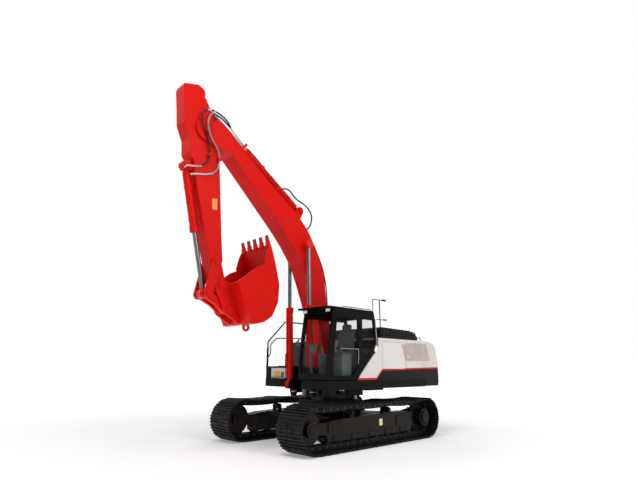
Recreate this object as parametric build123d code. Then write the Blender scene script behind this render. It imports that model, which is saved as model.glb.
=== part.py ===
from build123d import *
import math
import os

# Crawler excavator, 36 tonne class, in millimetres.
# +X points forward along the boom, +Y to the cab's side, +Z up; z = 0 is the ground under the grousers.
# Everything is laid out from the swing axis at x = 0, and moved by SWING_X as it is written.
SWING_X = -800.0

# ---------------------------------------------------------------- clearances
PIN_FIT = 0.5          # radial room of a pin in its bore
SIDE_GAP = 6.0         # room between moving faces, measured along a pin
SEAT_GAP = 0.3         # room between a piece and the one that it is bolted to
DOOR_GAP = 6.0         # shut line round doors and lids
DOOR_PROUD = 4.0       # doors stand this far out from their wall
KNUCKLE_RADIUS = 11.0  # door hinges
KNUCKLE_LENGTH = 45.0

# ---------------------------------------------------------------- tracks
WHEEL_BASE = 4040.0    # idler axle to sprocket axle
TRACK_GAUGE = 2600.0   # middle of one track to middle of the other
SHOE_WIDTH = 800.0
SHOE_COUNT = 50
SHOE_THICK = 14.0
GROUSER_HEIGHT = 30.0
GROUSER_BASE = 26.0
GROUSER_TIP = 14.0
LINK_HEIGHT = 120.0
LINK_THICK = 44.0
LINK_SPREAD = 150.0    # middle of one row of links to middle of the other
AXLE_HEIGHT = 500.0
TRACK_SAG = 34.0
CARRIER_X = 680.0
ROLLER_COUNT = 8
ROLLER_RADIUS = 88.0
ROLLER_SPAN = 2900.0   # first to last bottom roller
CARRIER_RADIUS = 68.0
SPROCKET_TEETH = 21
FRAME_HALF_WIDTH = 165.0
IDLER_AXLE = 62.0

RAIL_DROP = GROUSER_HEIGHT + SHOE_THICK + LINK_HEIGHT    # grouser tips to the rail the rollers run on
SHOE_SEAT = AXLE_HEIGHT - GROUSER_HEIGHT - SHOE_THICK    # axle to the inner face of the shoes
RAIL_RADIUS = AXLE_HEIGHT - RAIL_DROP
TRACK_Y = TRACK_GAUGE / 2
ROLLER_HALF = LINK_SPREAD / 2 + LINK_THICK / 2 + 8
DRIVE_HALF = ROLLER_HALF + 15    # inner face of the final drive's seat

# ---------------------------------------------------------------- car body and turntable
CLEARANCE = 500.0
CAR_TOP = 960.0
BEARING_RADIUS = 720.0
DECK_BOTTOM = 1265.0
DECK_TOP = 1460.0
DECK_HALF_WIDTH = 1480.0

# ---------------------------------------------------------------- upper body
CAB_FRONT, CAB_REAR = 1525.0, -240.0
CAB_LEFT, CAB_RIGHT = 1490.0, 490.0
CAB_ROOF = 3130.0
CAB_WALL = 45.0
CAB_SILL = DECK_TOP + 20.0
HOUSE_REAR = -2300.0
TANK_REAR, TANK_FRONT = -860.0, 250.0
HOUSE_TOP = 2480.0
HOUSE_WALL = 30.0
HOOD_TOP = 2800.0
HINGE_Y = DECK_HALF_WIDTH + DOOR_PROUD
TAIL_RADIUS = 3300.0
COUNTERWEIGHT_BOTTOM = 1275.0
BOX_FRONT = 1000.0     # front face of the right tool box
BOX_TOP = 1780.0

# ---------------------------------------------------------------- boom, arm and bucket pins, (x, z)
BOOM_FOOT = (150.0, 1850.0)
BOOM_TIP = (4220.0, 7080.0)
ARM_NOSE = (3600.0, 3500.0)
LIFT_FOOT = (1040.0, 1340.0)      # boom cylinder on the deck
LIFT_EYE = (1140.0, 4880.0)       # boom cylinder on the boom
CROWD_FOOT = (1200.0, 5850.0)     # arm cylinder on the boom
CROWD_EYE = (4480.0, 7970.0)      # arm cylinder on the arm's tail
CURL_FOOT = (4600.0, 6110.0)      # bucket cylinder on the arm
IDLER_PIN = (3770.0, 4000.0)      # idler links on the arm
LINK_PIN = (3910.0, 3290.0)       # rod, idler links and bucket link meet here
BUCKET_PIN = (3360.0, 2985.0)     # bucket link on the bucket

BOOM_HALF = 235.0
BOOM_FLANGE = 16.0
EAR_THICK = 38.0
ARM_HALF = 175.0
PIN_RADIUS = 55.0
LIFT_Y = 380.0
BARREL_RADIUS = 84.0
ROD_RADIUS = 50.0
EYE_RADIUS = 112.0
EYE_HALF = 60.0
BUCKET_HALF = 570.0
NOSE_HALF = 150.0
IDLER_SEAT = 20.0      # the idler links' bosses stand out from the arm's sides by this
LIFT_BARREL, CROWD_BARREL, CURL_BARREL = 1930.0, 2160.0, 1530.0
LIFT_STROKE, CROWD_STROKE, CURL_STROKE = 1372.0, 1445.0, 1145.0
NOTCH_HALF = BOOM_HALF + 9.0      # slot in the deck's front that the boom drops into


# ================================================================ shapes
def block(x, y, z):
    """A box from three (low, high) pairs."""
    size = (x[1] - x[0], y[1] - y[0], z[1] - z[0])
    middle = ((x[0] + x[1]) / 2, (y[0] + y[1]) / 2, (z[0] + z[1]) / 2)
    return Pos(*middle) * Box(*size)


def side_face(points, y=0.0):
    """A flat face at y, from (x, z) points."""
    return make_face(Polyline(*[(x, y, z) for x, z in points], close=True))


def side_plate(points, y_low, y_high):
    """A plate cut to (x, z) points, from y_low to y_high."""
    return extrude(side_face(points, y_low), amount=y_high - y_low, dir=(0, 1, 0))


def top_plate(points, z_low, z_high):
    """A plate cut to (x, y) points, from z_low to z_high."""
    face = make_face(Polyline(*[(x, y, z_low) for x, y in points], close=True))
    return extrude(face, amount=z_high - z_low, dir=(0, 0, 1))


def cross_bar(centre, radius, y_low, y_high):
    """A round bar across the machine, its axis along Y."""
    x, z = centre
    return Pos(x, (y_low + y_high) / 2, z) * Rot(90, 0, 0) * Cylinder(radius, y_high - y_low)


def tapered_link(first, radius_a, second, radius_b, y_low, y_high):
    """A flat link whose outline wraps two round ends."""
    ends = []
    for (x, z), radius in ((first, radius_a), (second, radius_b)):
        ends += (Pos(x, z) * Circle(radius)).edges()
    plate = extrude(make_hull(ends), amount=y_high - y_low)
    return Pos(0, y_high, 0) * Rot(90, 0, 0) * plate


def bar_between(start, end, radius, y=0.0, trim_start=0.0, trim_end=0.0):
    """A round bar along the line from one (x, z) pin to another."""
    dx, dz = end[0] - start[0], end[1] - start[1]
    length = math.hypot(dx, dz)
    ux, uz = dx / length, dz / length
    foot = (start[0] + ux * trim_start, y, start[1] + uz * trim_start)
    plane = Plane(origin=foot, z_dir=(ux, 0, uz))
    bar = Cylinder(radius, length - trim_start - trim_end, align=(Align.CENTER, Align.CENTER, Align.MIN))
    return plane * bar


def hinge_knuckles(hinge, moving):
    """Knuckles of one leaf of a door's two hinges: (x, y), heights, and which way the door lies along X."""
    (x, y), heights, way = hinge
    inward = -1 if y > 0 else 1
    leaf_way = way if moving else -way
    solid = None
    for z in heights:
        low = z + (KNUCKLE_LENGTH + SEAT_GAP if moving else 0)
        knuckle = Pos(x, y, low + KNUCKLE_LENGTH / 2) * Cylinder(KNUCKLE_RADIUS, KNUCKLE_LENGTH)
        back = y + inward * (DOOR_PROUD + 8)
        leaf = block(sorted((x, x + leaf_way * 46)), sorted((back, y + inward * -3)), (low, low + KNUCKLE_LENGTH))
        solid = knuckle + leaf if solid is None else solid + knuckle + leaf
    return solid


def hinge_fixed(hinge):
    return hinge_knuckles(hinge, False)


def hinge_moving(hinge):
    return hinge_knuckles(hinge, True)


def hinge_room(hinge):
    """Space that is cut from the door and its frame round the knuckles."""
    (x, y), heights, way = hinge
    length = 2 * KNUCKLE_LENGTH + SEAT_GAP + 4
    rooms = [Pos(x, y, z - 2 + length / 2) * Cylinder(KNUCKLE_RADIUS + 4, length) for z in heights]
    return rooms[0] + rooms[1:]


def along(start, end, share):
    """A point on the line between two pins."""
    return (start[0] + (end[0] - start[0]) * share, start[1] + (end[1] - start[1]) * share)


def distance(a, b):
    return math.hypot(b[0] - a[0], b[1] - a[1])


# ================================================================ undercarriage
def track_path():
    """The line of the shoes' inner faces: two half rounds, a flat bottom and a top run that sags."""
    reach, low, high = WHEEL_BASE / 2, AXLE_HEIGHT - SHOE_SEAT, AXLE_HEIGHT + SHOE_SEAT
    stops = [(reach, high), (CARRIER_X, high), (-CARRIER_X, high), (-reach, high)]
    edges = [Line((-reach, low), (reach, low)), ThreePointArc((reach, low), (reach + SHOE_SEAT, AXLE_HEIGHT), (reach, high))]
    for (x0, z0), (x1, z1) in zip(stops, stops[1:]):
        edges.append(ThreePointArc((x0, z0), ((x0 + x1) / 2, z0 - TRACK_SAG), (x1, z1)))
    edges.append(ThreePointArc((-reach, high), (-reach - SHOE_SEAT, AXLE_HEIGHT), (-reach, low)))
    return edges


def points_along(edges, count):
    """Points at equal steps along joined edges, found by length."""
    lengths = [edge.length for edge in edges]
    total, points = sum(lengths), []
    for index in range(count):
        rest = total * index / count
        for edge, length in zip(edges, lengths):
            if rest <= length:
                points.append(edge.position_at(rest / length))
                break
            rest -= length
    return points


def belt_outline(joints, heights):
    """Corners of the loop's outline: for every shoe, (share of its length, height) pairs laid on its chord."""
    corners = []
    for start, end in zip(joints, joints[1:] + joints[:1]):
        run = end - start
        outward = Vector(run.Y, -run.X).normalized()
        for share, height in heights:
            corners.append(start + run * share + outward * height)
    return [(corner.X, corner.Y) for corner in corners]


def track_loop(side):
    """One track: shoes with three grousers each, on two rows of links."""
    joints = points_along(track_path(), SHOE_COUNT)
    pitch = (joints[1] - joints[0]).length
    base, tip = GROUSER_BASE / 2 / pitch, GROUSER_TIP / 2 / pitch
    profile = []
    for place in (0.10, 0.46, 0.82):
        profile += [(place - base, SHOE_THICK), (place - tip, SHOE_THICK + GROUSER_HEIGHT)]
        profile += [(place + tip, SHOE_THICK + GROUSER_HEIGHT), (place + base, SHOE_THICK)]
    outer = belt_outline(joints, profile)
    seat = belt_outline(joints, [(0.0, 0.0)])
    rail = belt_outline(joints, [(0.0, -LINK_HEIGHT)])
    y = side * TRACK_Y
    shoes = side_plate(outer, y - SHOE_WIDTH / 2, y + SHOE_WIDTH / 2)
    shoes -= side_plate(seat, y - SHOE_WIDTH, y + SHOE_WIDTH)
    links = []
    ring = side_face(seat) - side_face(rail)
    for row in (-1, 1):
        low = y + row * LINK_SPREAD / 2 - LINK_THICK / 2
        links.append(Pos(0, low, 0) * extrude(ring, amount=LINK_THICK, dir=(0, 1, 0)))
    return shoes + links


def wheel(centre, y, bands):
    """A wheel on a cross axis, from (radius, low, high) bands measured from y."""
    solid = None
    for radius, low, high in bands:
        band = cross_bar(centre, radius, y + low, y + high)
        solid = band if solid is None else solid + band
    return solid


def sprocket(side):
    """Toothed wheel with its final drive, hub outwards and motor case inwards."""
    y = side * TRACK_Y
    centre = (-WHEEL_BASE / 2, AXLE_HEIGHT)
    root, crest = RAIL_RADIUS - 8, RAIL_RADIUS + LINK_HEIGHT - 30
    teeth = []
    step = 2 * math.pi / SPROCKET_TEETH
    for index in range(SPROCKET_TEETH):
        for share, radius in ((-0.30, root), (-0.12, crest), (0.12, crest), (0.30, root)):
            angle = (index + share) * step
            teeth.append((centre[0] + radius * math.cos(angle), centre[1] + radius * math.sin(angle)))
    half = LINK_SPREAD / 2 - LINK_THICK / 2 - 12
    body = side_plate(teeth, y - half, y + half)
    out, motor = (1, -1) if side > 0 else (-1, 1)
    hub = cross_bar(centre, 215, *sorted((y + out * half, y + out * 255)))
    cap = cross_bar(centre, 150, *sorted((y + out * 255, y + out * 300)))
    case = cross_bar(centre, 235, *sorted((y + motor * half, y + motor * DRIVE_HALF)))
    return body + hub + cap + case


def idler(side):
    """Front wheel: two treads under the links and a flange between their rows."""
    y = side * TRACK_Y
    centre = (WHEEL_BASE / 2, AXLE_HEIGHT)
    tread = LINK_SPREAD / 2 + LINK_THICK / 2 + 6
    flange = LINK_SPREAD / 2 - LINK_THICK / 2 - 12
    bands = [(RAIL_RADIUS - 17, -tread, tread), (RAIL_RADIUS + 30, -flange, flange)]
    bands.append((IDLER_AXLE, -FRAME_HALF_WIDTH - 40, FRAME_HALF_WIDTH + 40))
    bands.append((165, FRAME_HALF_WIDTH + 15, FRAME_HALF_WIDTH + 60) if side > 0
                 else (165, -FRAME_HALF_WIDTH - 60, -FRAME_HALF_WIDTH - 15))
    return wheel(centre, y, bands)


def bottom_rollers(side):
    rail = RAIL_DROP + SEAT_GAP
    rollers = []
    half = ROLLER_HALF
    for index in range(ROLLER_COUNT):
        x = ROLLER_SPAN * (index / (ROLLER_COUNT - 1) - 0.5)
        centre = (x, rail + ROLLER_RADIUS)
        rollers.append(wheel(centre, side * TRACK_Y, [(ROLLER_RADIUS, -half, half)]))
    return rollers


def carrier_rollers(side):
    """Two rollers under the top run, each on a stub from the inner side of the frame."""
    top = 2 * AXLE_HEIGHT - RAIL_DROP - 16
    half = LINK_SPREAD / 2 + LINK_THICK / 2
    rollers = []
    for x in (-CARRIER_X, CARRIER_X):
        rollers.append(wheel((x, top - CARRIER_RADIUS), side * TRACK_Y, [(CARRIER_RADIUS, -half, half)]))
    return rollers


def track_frame(side):
    """Side frame: a closed beam with a sloped top, fork ends for the idler and a ring for the final drive."""
    y = side * TRACK_Y
    reach = WHEEL_BASE / 2
    low = RAIL_DROP + 2 * ROLLER_RADIUS + 12
    half = FRAME_HALF_WIDTH
    beam = side_plate([(-reach + 450, low), (reach - 430, low), (reach - 430, 600), (reach - 700, 640),
                       (300, 672), (-reach + 600, 672), (-reach + 450, 640)], y - half, y + half)
    # fork arms that hold the idler's axle blocks
    for arm in (-1, 1):
        inner = LINK_SPREAD / 2 + LINK_THICK / 2 + 14
        edge = sorted((y + arm * inner, y + arm * half))
        fork = side_plate([(reach - 440, low), (reach + 150, low + 60), (reach + 150, 610), (reach - 440, 600)], *edge)
        beam += fork
    beam -= cross_bar((reach, AXLE_HEIGHT), IDLER_AXLE + PIN_FIT, y - half - 1, y + half + 1)
    # plate that carries the final drive on the inner side
    edge = sorted((y - side * (DRIVE_HALF + SEAT_GAP), y - side * half))
    drive = side_plate([(-reach - 230, low + 10), (-reach + 560, low), (-reach + 560, 660), (-reach - 60, 740), (-reach - 230, 640)], *edge)
    beam += drive
    # bottom roller saddles, on both sides of the links
    for arm in (-1, 1):
        edge = sorted((y + arm * (ROLLER_HALF + SEAT_GAP), y + arm * half))
        beam += side_plate([(-ROLLER_SPAN / 2 - 90, low + 4), (ROLLER_SPAN / 2 + 90, low + 4),
                            (ROLLER_SPAN / 2 + 70, low - 145), (-ROLLER_SPAN / 2 - 70, low - 145)], *edge)
    # carrier roller posts
    top = 2 * AXLE_HEIGHT - RAIL_DROP - 16 - CARRIER_RADIUS
    for x in (-CARRIER_X, CARRIER_X):
        for arm in (-1, 1):
            inner = LINK_SPREAD / 2 + LINK_THICK / 2 + SEAT_GAP
            edge = sorted((y + arm * inner, y + arm * (inner + 30)))
            beam += side_plate([(x - 60, 630), (x + 60, 630), (x + 40, top + 40), (x - 40, top + 40)], *edge)
    return beam


def car_body():
    """Centre box under the turntable, with four legs that taper out to the track frames."""
    inner = TRACK_Y - FRAME_HALF_WIDTH - SEAT_GAP
    legs = []
    for fore in (-1, 1):
        for side in (-1, 1):
            outline = [(fore * 760, side * 300), (fore * 250, side * 700),
                       (fore * 620, side * inner), (fore * 1180, side * inner)]
            legs.append(top_plate(outline, CLEARANCE + 40, CAR_TOP - 300))
    middle = top_plate([(math.cos(a) * 860, math.sin(a) * 860)
                        for a in [math.radians(22.5 + 45 * k) for k in range(8)]], CLEARANCE, CAR_TOP - 60)
    collar = Pos(0, 0, (CAR_TOP - 60 + CAR_TOP) / 2) * Cylinder(BEARING_RADIUS + 60, 60)
    body = middle + legs + collar
    return body


def swing_bearing():
    """Outer race bolted under the deck's middle, standing on the car body's collar."""
    low, high = CAR_TOP + SEAT_GAP, DECK_BOTTOM - SIDE_GAP
    ring = Pos(0, 0, (low + high) / 2) * Cylinder(BEARING_RADIUS, high - low)
    return ring - Pos(0, 0, (low + high) / 2) * Cylinder(BEARING_RADIUS - 130, high - low + 2)


# ================================================================ upper body
def deck():
    """Revolving frame: two main plates that carry the boom's foot, and side decks with closed edges."""
    left_front, right_front = CAB_FRONT - 10, BOX_FRONT + 30
    step = 760
    plate = top_plate([(HOUSE_REAR + 10, -DECK_HALF_WIDTH), (right_front - 60, -DECK_HALF_WIDTH),
                       (right_front, -DECK_HALF_WIDTH + 90), (right_front, -600), (step, -600), (step, -NOTCH_HALF),
                       (540, -NOTCH_HALF), (540, NOTCH_HALF), (step, NOTCH_HALF), (step, 590), (left_front, 590),
                       (left_front, DECK_HALF_WIDTH), (HOUSE_REAR + 10, DECK_HALF_WIDTH)], DECK_BOTTOM, DECK_TOP)
    parts = []
    inner = BOOM_HALF + 75 + SIDE_GAP
    x, z = BOOM_FOOT
    for side in (-1, 1):
        edge = sorted((side * inner, side * (inner + 40)))
        tower = side_plate([(-255, DECK_TOP - 5), (730, DECK_TOP - 5), (600, DECK_TOP + 60), (x + 190, z + 60),
                            (x + 80, z + 190), (x - 80, z + 190), (x - 200, z + 60), (-255, DECK_TOP + 120)], *edge)
        parts.append(tower + cross_bar(BOOM_FOOT, 150, *sorted((side * (inner + 40), side * (inner + 62)))))
        # ears of the boom cylinder's foot, and its pin
        for low in (-EYE_HALF - SIDE_GAP - 32, EYE_HALF + SIDE_GAP):
            y = side * LIFT_Y + (low if side > 0 else -low - 32)
            parts.append(tapered_link(LIFT_FOOT, 110, (step - 40, (DECK_BOTTOM + DECK_TOP) / 2), 92, y, y + 32))
        reach = EYE_HALF + SIDE_GAP + 32
        parts.append(cross_bar(LIFT_FOOT, PIN_RADIUS, *sorted((side * (LIFT_Y - reach), side * (LIFT_Y + reach + 10)))))
    parts.append(cross_bar(BOOM_FOOT, PIN_RADIUS + 10, -inner - 80, inner + 80))
    # inner race, which turns inside the bearing
    depth = 150
    parts.append(Pos(0, 0, DECK_BOTTOM - depth / 2 + 5) * Cylinder(BEARING_RADIUS - 130 - PIN_FIT, depth + 10))
    return plate + parts


def counterweight():
    """Cast block with a round tail that leans in at the top, and two lifting eyes."""
    profile = [(0, COUNTERWEIGHT_BOTTOM), (TAIL_RADIUS - 40, COUNTERWEIGHT_BOTTOM), (TAIL_RADIUS, COUNTERWEIGHT_BOTTOM + 120),
               (TAIL_RADIUS, 1900), (TAIL_RADIUS - 70, 2310), (TAIL_RADIUS - 160, 2400), (TAIL_RADIUS - 300, 2450),
               (TAIL_RADIUS - 480, HOUSE_TOP), (0, HOUSE_TOP)]
    body = revolve(side_face(profile), Axis.Z)
    keep = block((-TAIL_RADIUS - 10, HOUSE_REAR - SEAT_GAP), (-DECK_HALF_WIDTH, DECK_HALF_WIDTH), (0, HOOD_TOP))
    body = body & keep
    return body


def house_plan(inset):
    """Plan of the engine house, which reaches further forward on the cab's side."""
    rear, left, right = HOUSE_REAR + 4, CAB_REAR - 30, TANK_REAR - 20
    half = DECK_HALF_WIDTH - inset
    return [(rear - (50 if inset else 0), -half), (right - inset, -half), (right - inset, -540 + inset), (left - inset, -540 + inset),
            (left - inset, half), (rear - (50 if inset else 0), half)]


def house_walls():
    """Shell of the engine house: side walls, front wall and roof, with openings for the doors and the hood."""
    low, high = DECK_TOP + SEAT_GAP, HOUSE_TOP
    shell = top_plate(house_plan(0), low, high) - top_plate(house_plan(HOUSE_WALL), low - 50, high - HOUSE_WALL)
    shell -= block(HOOD_X, HOOD_Y, (high - 200, high + 50))
    for name, (x, z, side, front) in DOORS.items():
        y = sorted((side * (DECK_HALF_WIDTH + 20), side * (DECK_HALF_WIDTH - HOUSE_WALL - 20)))
        shell -= block(x, y, z)
        shell -= hinge_room(door_hinge(name))
        shell += hinge_fixed(door_hinge(name))
    # panel that closes the corner under the cab's rear slope
    corner = [(CAB_REAR - 34, low), (560, low), (245, 1765), (-185, 2155), (CAB_REAR - 34, 2290)]
    shell += side_plate(corner, DECK_HALF_WIDTH - 24, DECK_HALF_WIDTH - 2)
    return shell


HOOD_X = (-2240.0, -760.0)     # opening in the roof that the hood covers
HOOD_REAR = -2480.0
HOOD_Y = (-1120.0, 1120.0)
DOORS = {                      # (x low, x high), (z low, z high), side, hinged at its front edge
    "left_front_door": ((-1330.0, -420.0), (1720.0, 2400.0), 1, True),
    "left_rear_door": ((-2240.0, -1400.0), (1720.0, 2400.0), 1, False),
    "right_door": ((-2240.0, -1200.0), (1720.0, 2400.0), -1, False),
}


def door_hinge(name):
    x, z, side, front = DOORS[name]
    axis = x[1] - DOOR_GAP if front else x[0] + DOOR_GAP
    return (axis, side * HINGE_Y), (z[0] + 80, z[1] - 180), -1 if front else 1


def house_door(name):
    """A pressed door that fills its opening, with a shallow rim behind it."""
    x, z, side, front = DOORS[name]
    inset = (x[0] + DOOR_GAP, x[1] - DOOR_GAP), (z[0] + DOOR_GAP, z[1] - DOOR_GAP)
    outer_y = side * HINGE_Y
    door = block(inset[0], sorted((outer_y, outer_y - side * 26)), inset[1])
    edge = x[0] + 70 if front else x[1] - 190
    handle = block((edge, edge + 120), sorted((outer_y, outer_y + side * 14)), (2020, 2060))
    return door + handle - hinge_room(door_hinge(name)) + hinge_moving(door_hinge(name))


def engine_hood():
    """Raised black cover over the engine: a tray turned down, with a crowned top."""
    x0, x1 = HOOD_REAR + 40, HOOD_X[1] + 30
    y0, y1 = HOOD_Y[0] - 30, HOOD_Y[1] + 30
    low = HOUSE_TOP + SEAT_GAP
    outer = side_plate([(x0 - 40, low), (x1, low), (x1 - 30, HOOD_TOP - 60), (x1 - 90, HOOD_TOP), (x0 + 330, HOOD_TOP - 30),
                        (x0 + 60, HOOD_TOP - 110), (x0 - 40, HOOD_TOP - 230)], y0, y1)
    inner = side_plate([(x0, low - 1), (x1 - 30, low - 1), (x1 - 60, HOOD_TOP - 90), (x1 - 105, HOOD_TOP - 30),
                        (x0 + 335, HOOD_TOP - 60), (x0 + 80, HOOD_TOP - 140), (x0, HOOD_TOP - 245)], y0 + 30, y1 - 30)
    return outer - inner


def engine_block():
    return block((-2150, -1150), (-450, 650), (DECK_TOP + SEAT_GAP, 2380))


def right_tanks():
    """Fuel and hydraulic tanks between the tool box and the engine house."""
    outline = [(TANK_REAR, DECK_TOP + SEAT_GAP), (TANK_FRONT, DECK_TOP + SEAT_GAP), (TANK_FRONT, 2330),
               (TANK_FRONT - 80, 2440), (TANK_REAR, 2440)]
    fuel = side_plate(outline, -DECK_HALF_WIDTH + 5, -560)
    return fuel


def toolbox():
    low = DECK_TOP + SEAT_GAP
    outer = block((340, BOX_FRONT), (-DECK_HALF_WIDTH + 60, -630), (low, BOX_TOP - 30))
    inner = block((365, BOX_FRONT - 25), (-DECK_HALF_WIDTH + 85, -655), (low + 25, BOX_TOP))
    return outer - inner


def toolbox_lid():
    return block((340, BOX_FRONT + 12), (-DECK_HALF_WIDTH + 50, -620), (BOX_TOP - 30 + SEAT_GAP, BOX_TOP))


# ================================================================ cab
CAB_PILLAR = 90.0
DOOR_X = (440.0, 1430.0)       # door opening along the left wall
DOOR_Z = (CAB_SILL + 30, 2960.0)
CAB_DOOR = [(DOOR_X[0], 1745), (698, DOOR_Z[0]), (DOOR_X[1], DOOR_Z[0]), (DOOR_X[1], 1950), (1355, 2500),
            (1290, DOOR_Z[1]), (DOOR_X[0], DOOR_Z[1])]
CAB_DOOR_HINGE = (DOOR_X[0] + DOOR_GAP, CAB_LEFT + DOOR_PROUD), (DOOR_Z[0] + 280, DOOR_Z[1] - 260), 1


def cab_outline():
    """Side view of the cab: a screen that leans back, and a rear wall that turns in under its window."""
    return [(CAB_FRONT, CAB_SILL), (CAB_FRONT, 1950), (CAB_FRONT - 80, 2520), (CAB_FRONT - 150, 2960),
            (CAB_FRONT - 195, CAB_ROOF), (-60, CAB_ROOF), (-110, CAB_ROOF - 40), (CAB_REAR, 2400), (-150, 2180),
            (280, 1790), (620, CAB_SILL)]


LEFT_WINDOW = [(-70, 2900), (350, 2900), (350, 2010), (175, 2010), (-100, 2260), (-140, 2420)]
RIGHT_WINDOW = [(-70, 2900), (1280, 2900), (1365, 2400), (1425, 1950), (1425, 1750), (620, 1750), (-100, 2260), (-140, 2420)]
SCREEN_Y = (CAB_RIGHT + 60, CAB_LEFT - 60)
SCREEN_Z = (1620.0, 2990.0)
REAR_PANE_Z = (2430.0, 2950.0)


def cab_skin(outer, inner, y):
    """What lies between two depths under the cab's outline."""
    start, amount = y[0], y[1] - y[0]
    skin = [extrude(offset(side_face(cab_outline(), start), -depth), amount=amount, dir=(0, 1, 0)) for depth in (outer, inner)]
    return skin[0] - skin[1]


def cab_shell():
    """Hollow cab with pillars left between its window openings."""
    outer = side_plate(cab_outline(), CAB_RIGHT, CAB_LEFT)
    face = offset(side_face(cab_outline()), -CAB_WALL)
    room = Pos(0, CAB_RIGHT + CAB_WALL, 0) * extrude(face, amount=CAB_LEFT - CAB_RIGHT - 2 * CAB_WALL, dir=(0, 1, 0))
    shell = outer - room
    left = (CAB_LEFT - CAB_WALL - 20, CAB_LEFT + 20)
    shell -= side_plate(CAB_DOOR, *left)
    shell -= side_plate(LEFT_WINDOW, *left)
    shell -= side_plate(RIGHT_WINDOW, CAB_RIGHT - 20, CAB_RIGHT + CAB_WALL + 20)
    shell -= block((CAB_FRONT - 400, CAB_FRONT + 50), SCREEN_Y, SCREEN_Z)
    shell -= block((CAB_REAR - 50, 60), SCREEN_Y, REAR_PANE_Z)
    shell -= hinge_room(CAB_DOOR_HINGE)
    return shell + hinge_fixed(CAB_DOOR_HINGE)


def roof_lip():
    """Front of the roof, which stands out over the screen and further on the boom's side."""
    right, left = CAB_RIGHT + CAB_WALL, CAB_LEFT - CAB_WALL
    rear = CAB_FRONT - 180
    plan = [(rear - 100, right), (rear, right), (rear, CAB_RIGHT), (CAB_FRONT + 55, CAB_RIGHT), (CAB_FRONT - 50, CAB_LEFT),
            (rear, CAB_LEFT), (rear, left), (rear - 100, left)]
    return top_plate(plan, CAB_ROOF - CAB_WALL, CAB_ROOF)


def cab_panels():
    """The shell parted where its panels meet: two sides, floor, roof, and the frames at both ends."""
    shell = cab_shell()
    far = (-5000, 5000)
    left, right = CAB_LEFT - CAB_WALL, CAB_RIGHT + CAB_WALL
    middle = (right, left)
    floor, roof = CAB_SILL + CAB_WALL, CAB_ROOF - CAB_WALL
    yield "cab_left_side", shell & block(far, (left, left + 200), (0, 5000))
    yield "cab_right_side", shell & block(far, (right - 200, right), (0, 5000))
    yield "cab_floor", shell & block(far, middle, (0, floor))
    yield "cab_roof", (shell & block(far, middle, (roof, 5000))) + roof_lip()
    yield "cab_front_frame", shell & block((900, 5000), middle, (floor, roof))
    yield "cab_rear_frame", shell & block((-5000, 900), middle, (floor, roof))


def pane(outline, y):
    """A side pane that fills its opening to within the seat gap."""
    face = offset(side_face(outline, y - 4), -SEAT_GAP)
    return extrude(face, amount=8, dir=(0, 1, 0))


def cab_glass():
    """Panes set in the middle of the wall thickness."""
    y = (SCREEN_Y[0] + SEAT_GAP, SCREEN_Y[1] - SEAT_GAP)
    skin = cab_skin(18, 26, y)
    screen = skin & block((CAB_FRONT - 400, CAB_FRONT), y, (SCREEN_Z[0] + SEAT_GAP, SCREEN_Z[1] - SEAT_GAP))
    rear = skin & block((CAB_REAR - 50, 60), y, (REAR_PANE_Z[0] + SEAT_GAP, REAR_PANE_Z[1] - SEAT_GAP))
    return [pane(LEFT_WINDOW, CAB_LEFT - CAB_WALL / 2), pane(RIGHT_WINDOW, CAB_RIGHT + CAB_WALL / 2), screen, rear]


DOOR_BAR = (2150, 2200)        # cross bar of the cab door, between its two panes


def cab_door_plate(inset, y):
    """The door's outline drawn in on all sides, from one y to another."""
    return extrude(offset(side_face(CAB_DOOR, y[0]), -inset), amount=y[1] - y[0], dir=(0, 1, 0))


def cab_door_panes(slack, y):
    """Upper and lower window openings of the cab door, drawn in by the slack."""
    bar = block((0, 2000), (y[0] - 1, y[1] + 1), (DOOR_BAR[0] - slack, DOOR_BAR[1] + slack))
    return cab_door_plate(DOOR_GAP + 60 + slack, y) - bar


def cab_door():
    """Door frame with an upper and a lower opening, hinged at its rear edge."""
    y = (CAB_LEFT - CAB_WALL, CAB_LEFT + DOOR_PROUD)
    frame = cab_door_plate(DOOR_GAP, y) - cab_door_panes(0, (y[0] - 10, y[1] + 10))
    handle = block((1170, 1290), (y[1], y[1] + 16), (2160, 2190))
    return frame + handle - hinge_room(CAB_DOOR_HINGE) + hinge_moving(CAB_DOOR_HINGE)


def cab_door_glass():
    return cab_door_panes(SEAT_GAP, (CAB_LEFT - 26, CAB_LEFT - 18))


def cab_mount():
    return [block((x - 70, x + 70), (y - 70, y + 70), (DECK_TOP + SEAT_GAP, CAB_SILL - SEAT_GAP))
            for x in (620, 1340) for y in (CAB_RIGHT + 150, CAB_LEFT - 150)]


def seat():
    """Operator's seat: base, cushion and a back with a headrest."""
    y = ((CAB_LEFT + CAB_RIGHT) / 2 - 240, (CAB_LEFT + CAB_RIGHT) / 2 + 240)
    floor = CAB_SILL + CAB_WALL + SEAT_GAP
    base = block((665, 880), (y[0] + 60, y[1] - 60), (floor, 1860))
    cushion = block((380, 900), y, (1860, 2010))
    back = side_plate([(380, 1980), (500, 1980), (420, 2620), (320, 2620)], *y)
    head = side_plate([(325, 2640), (415, 2640), (400, 2800), (310, 2800)], y[0] + 110, y[1] - 110)
    post = side_plate([(350, 2600), (390, 2600), (385, 2660), (345, 2660)], y[0] + 180, y[1] - 180)
    return base + cushion + back + head + post


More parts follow.
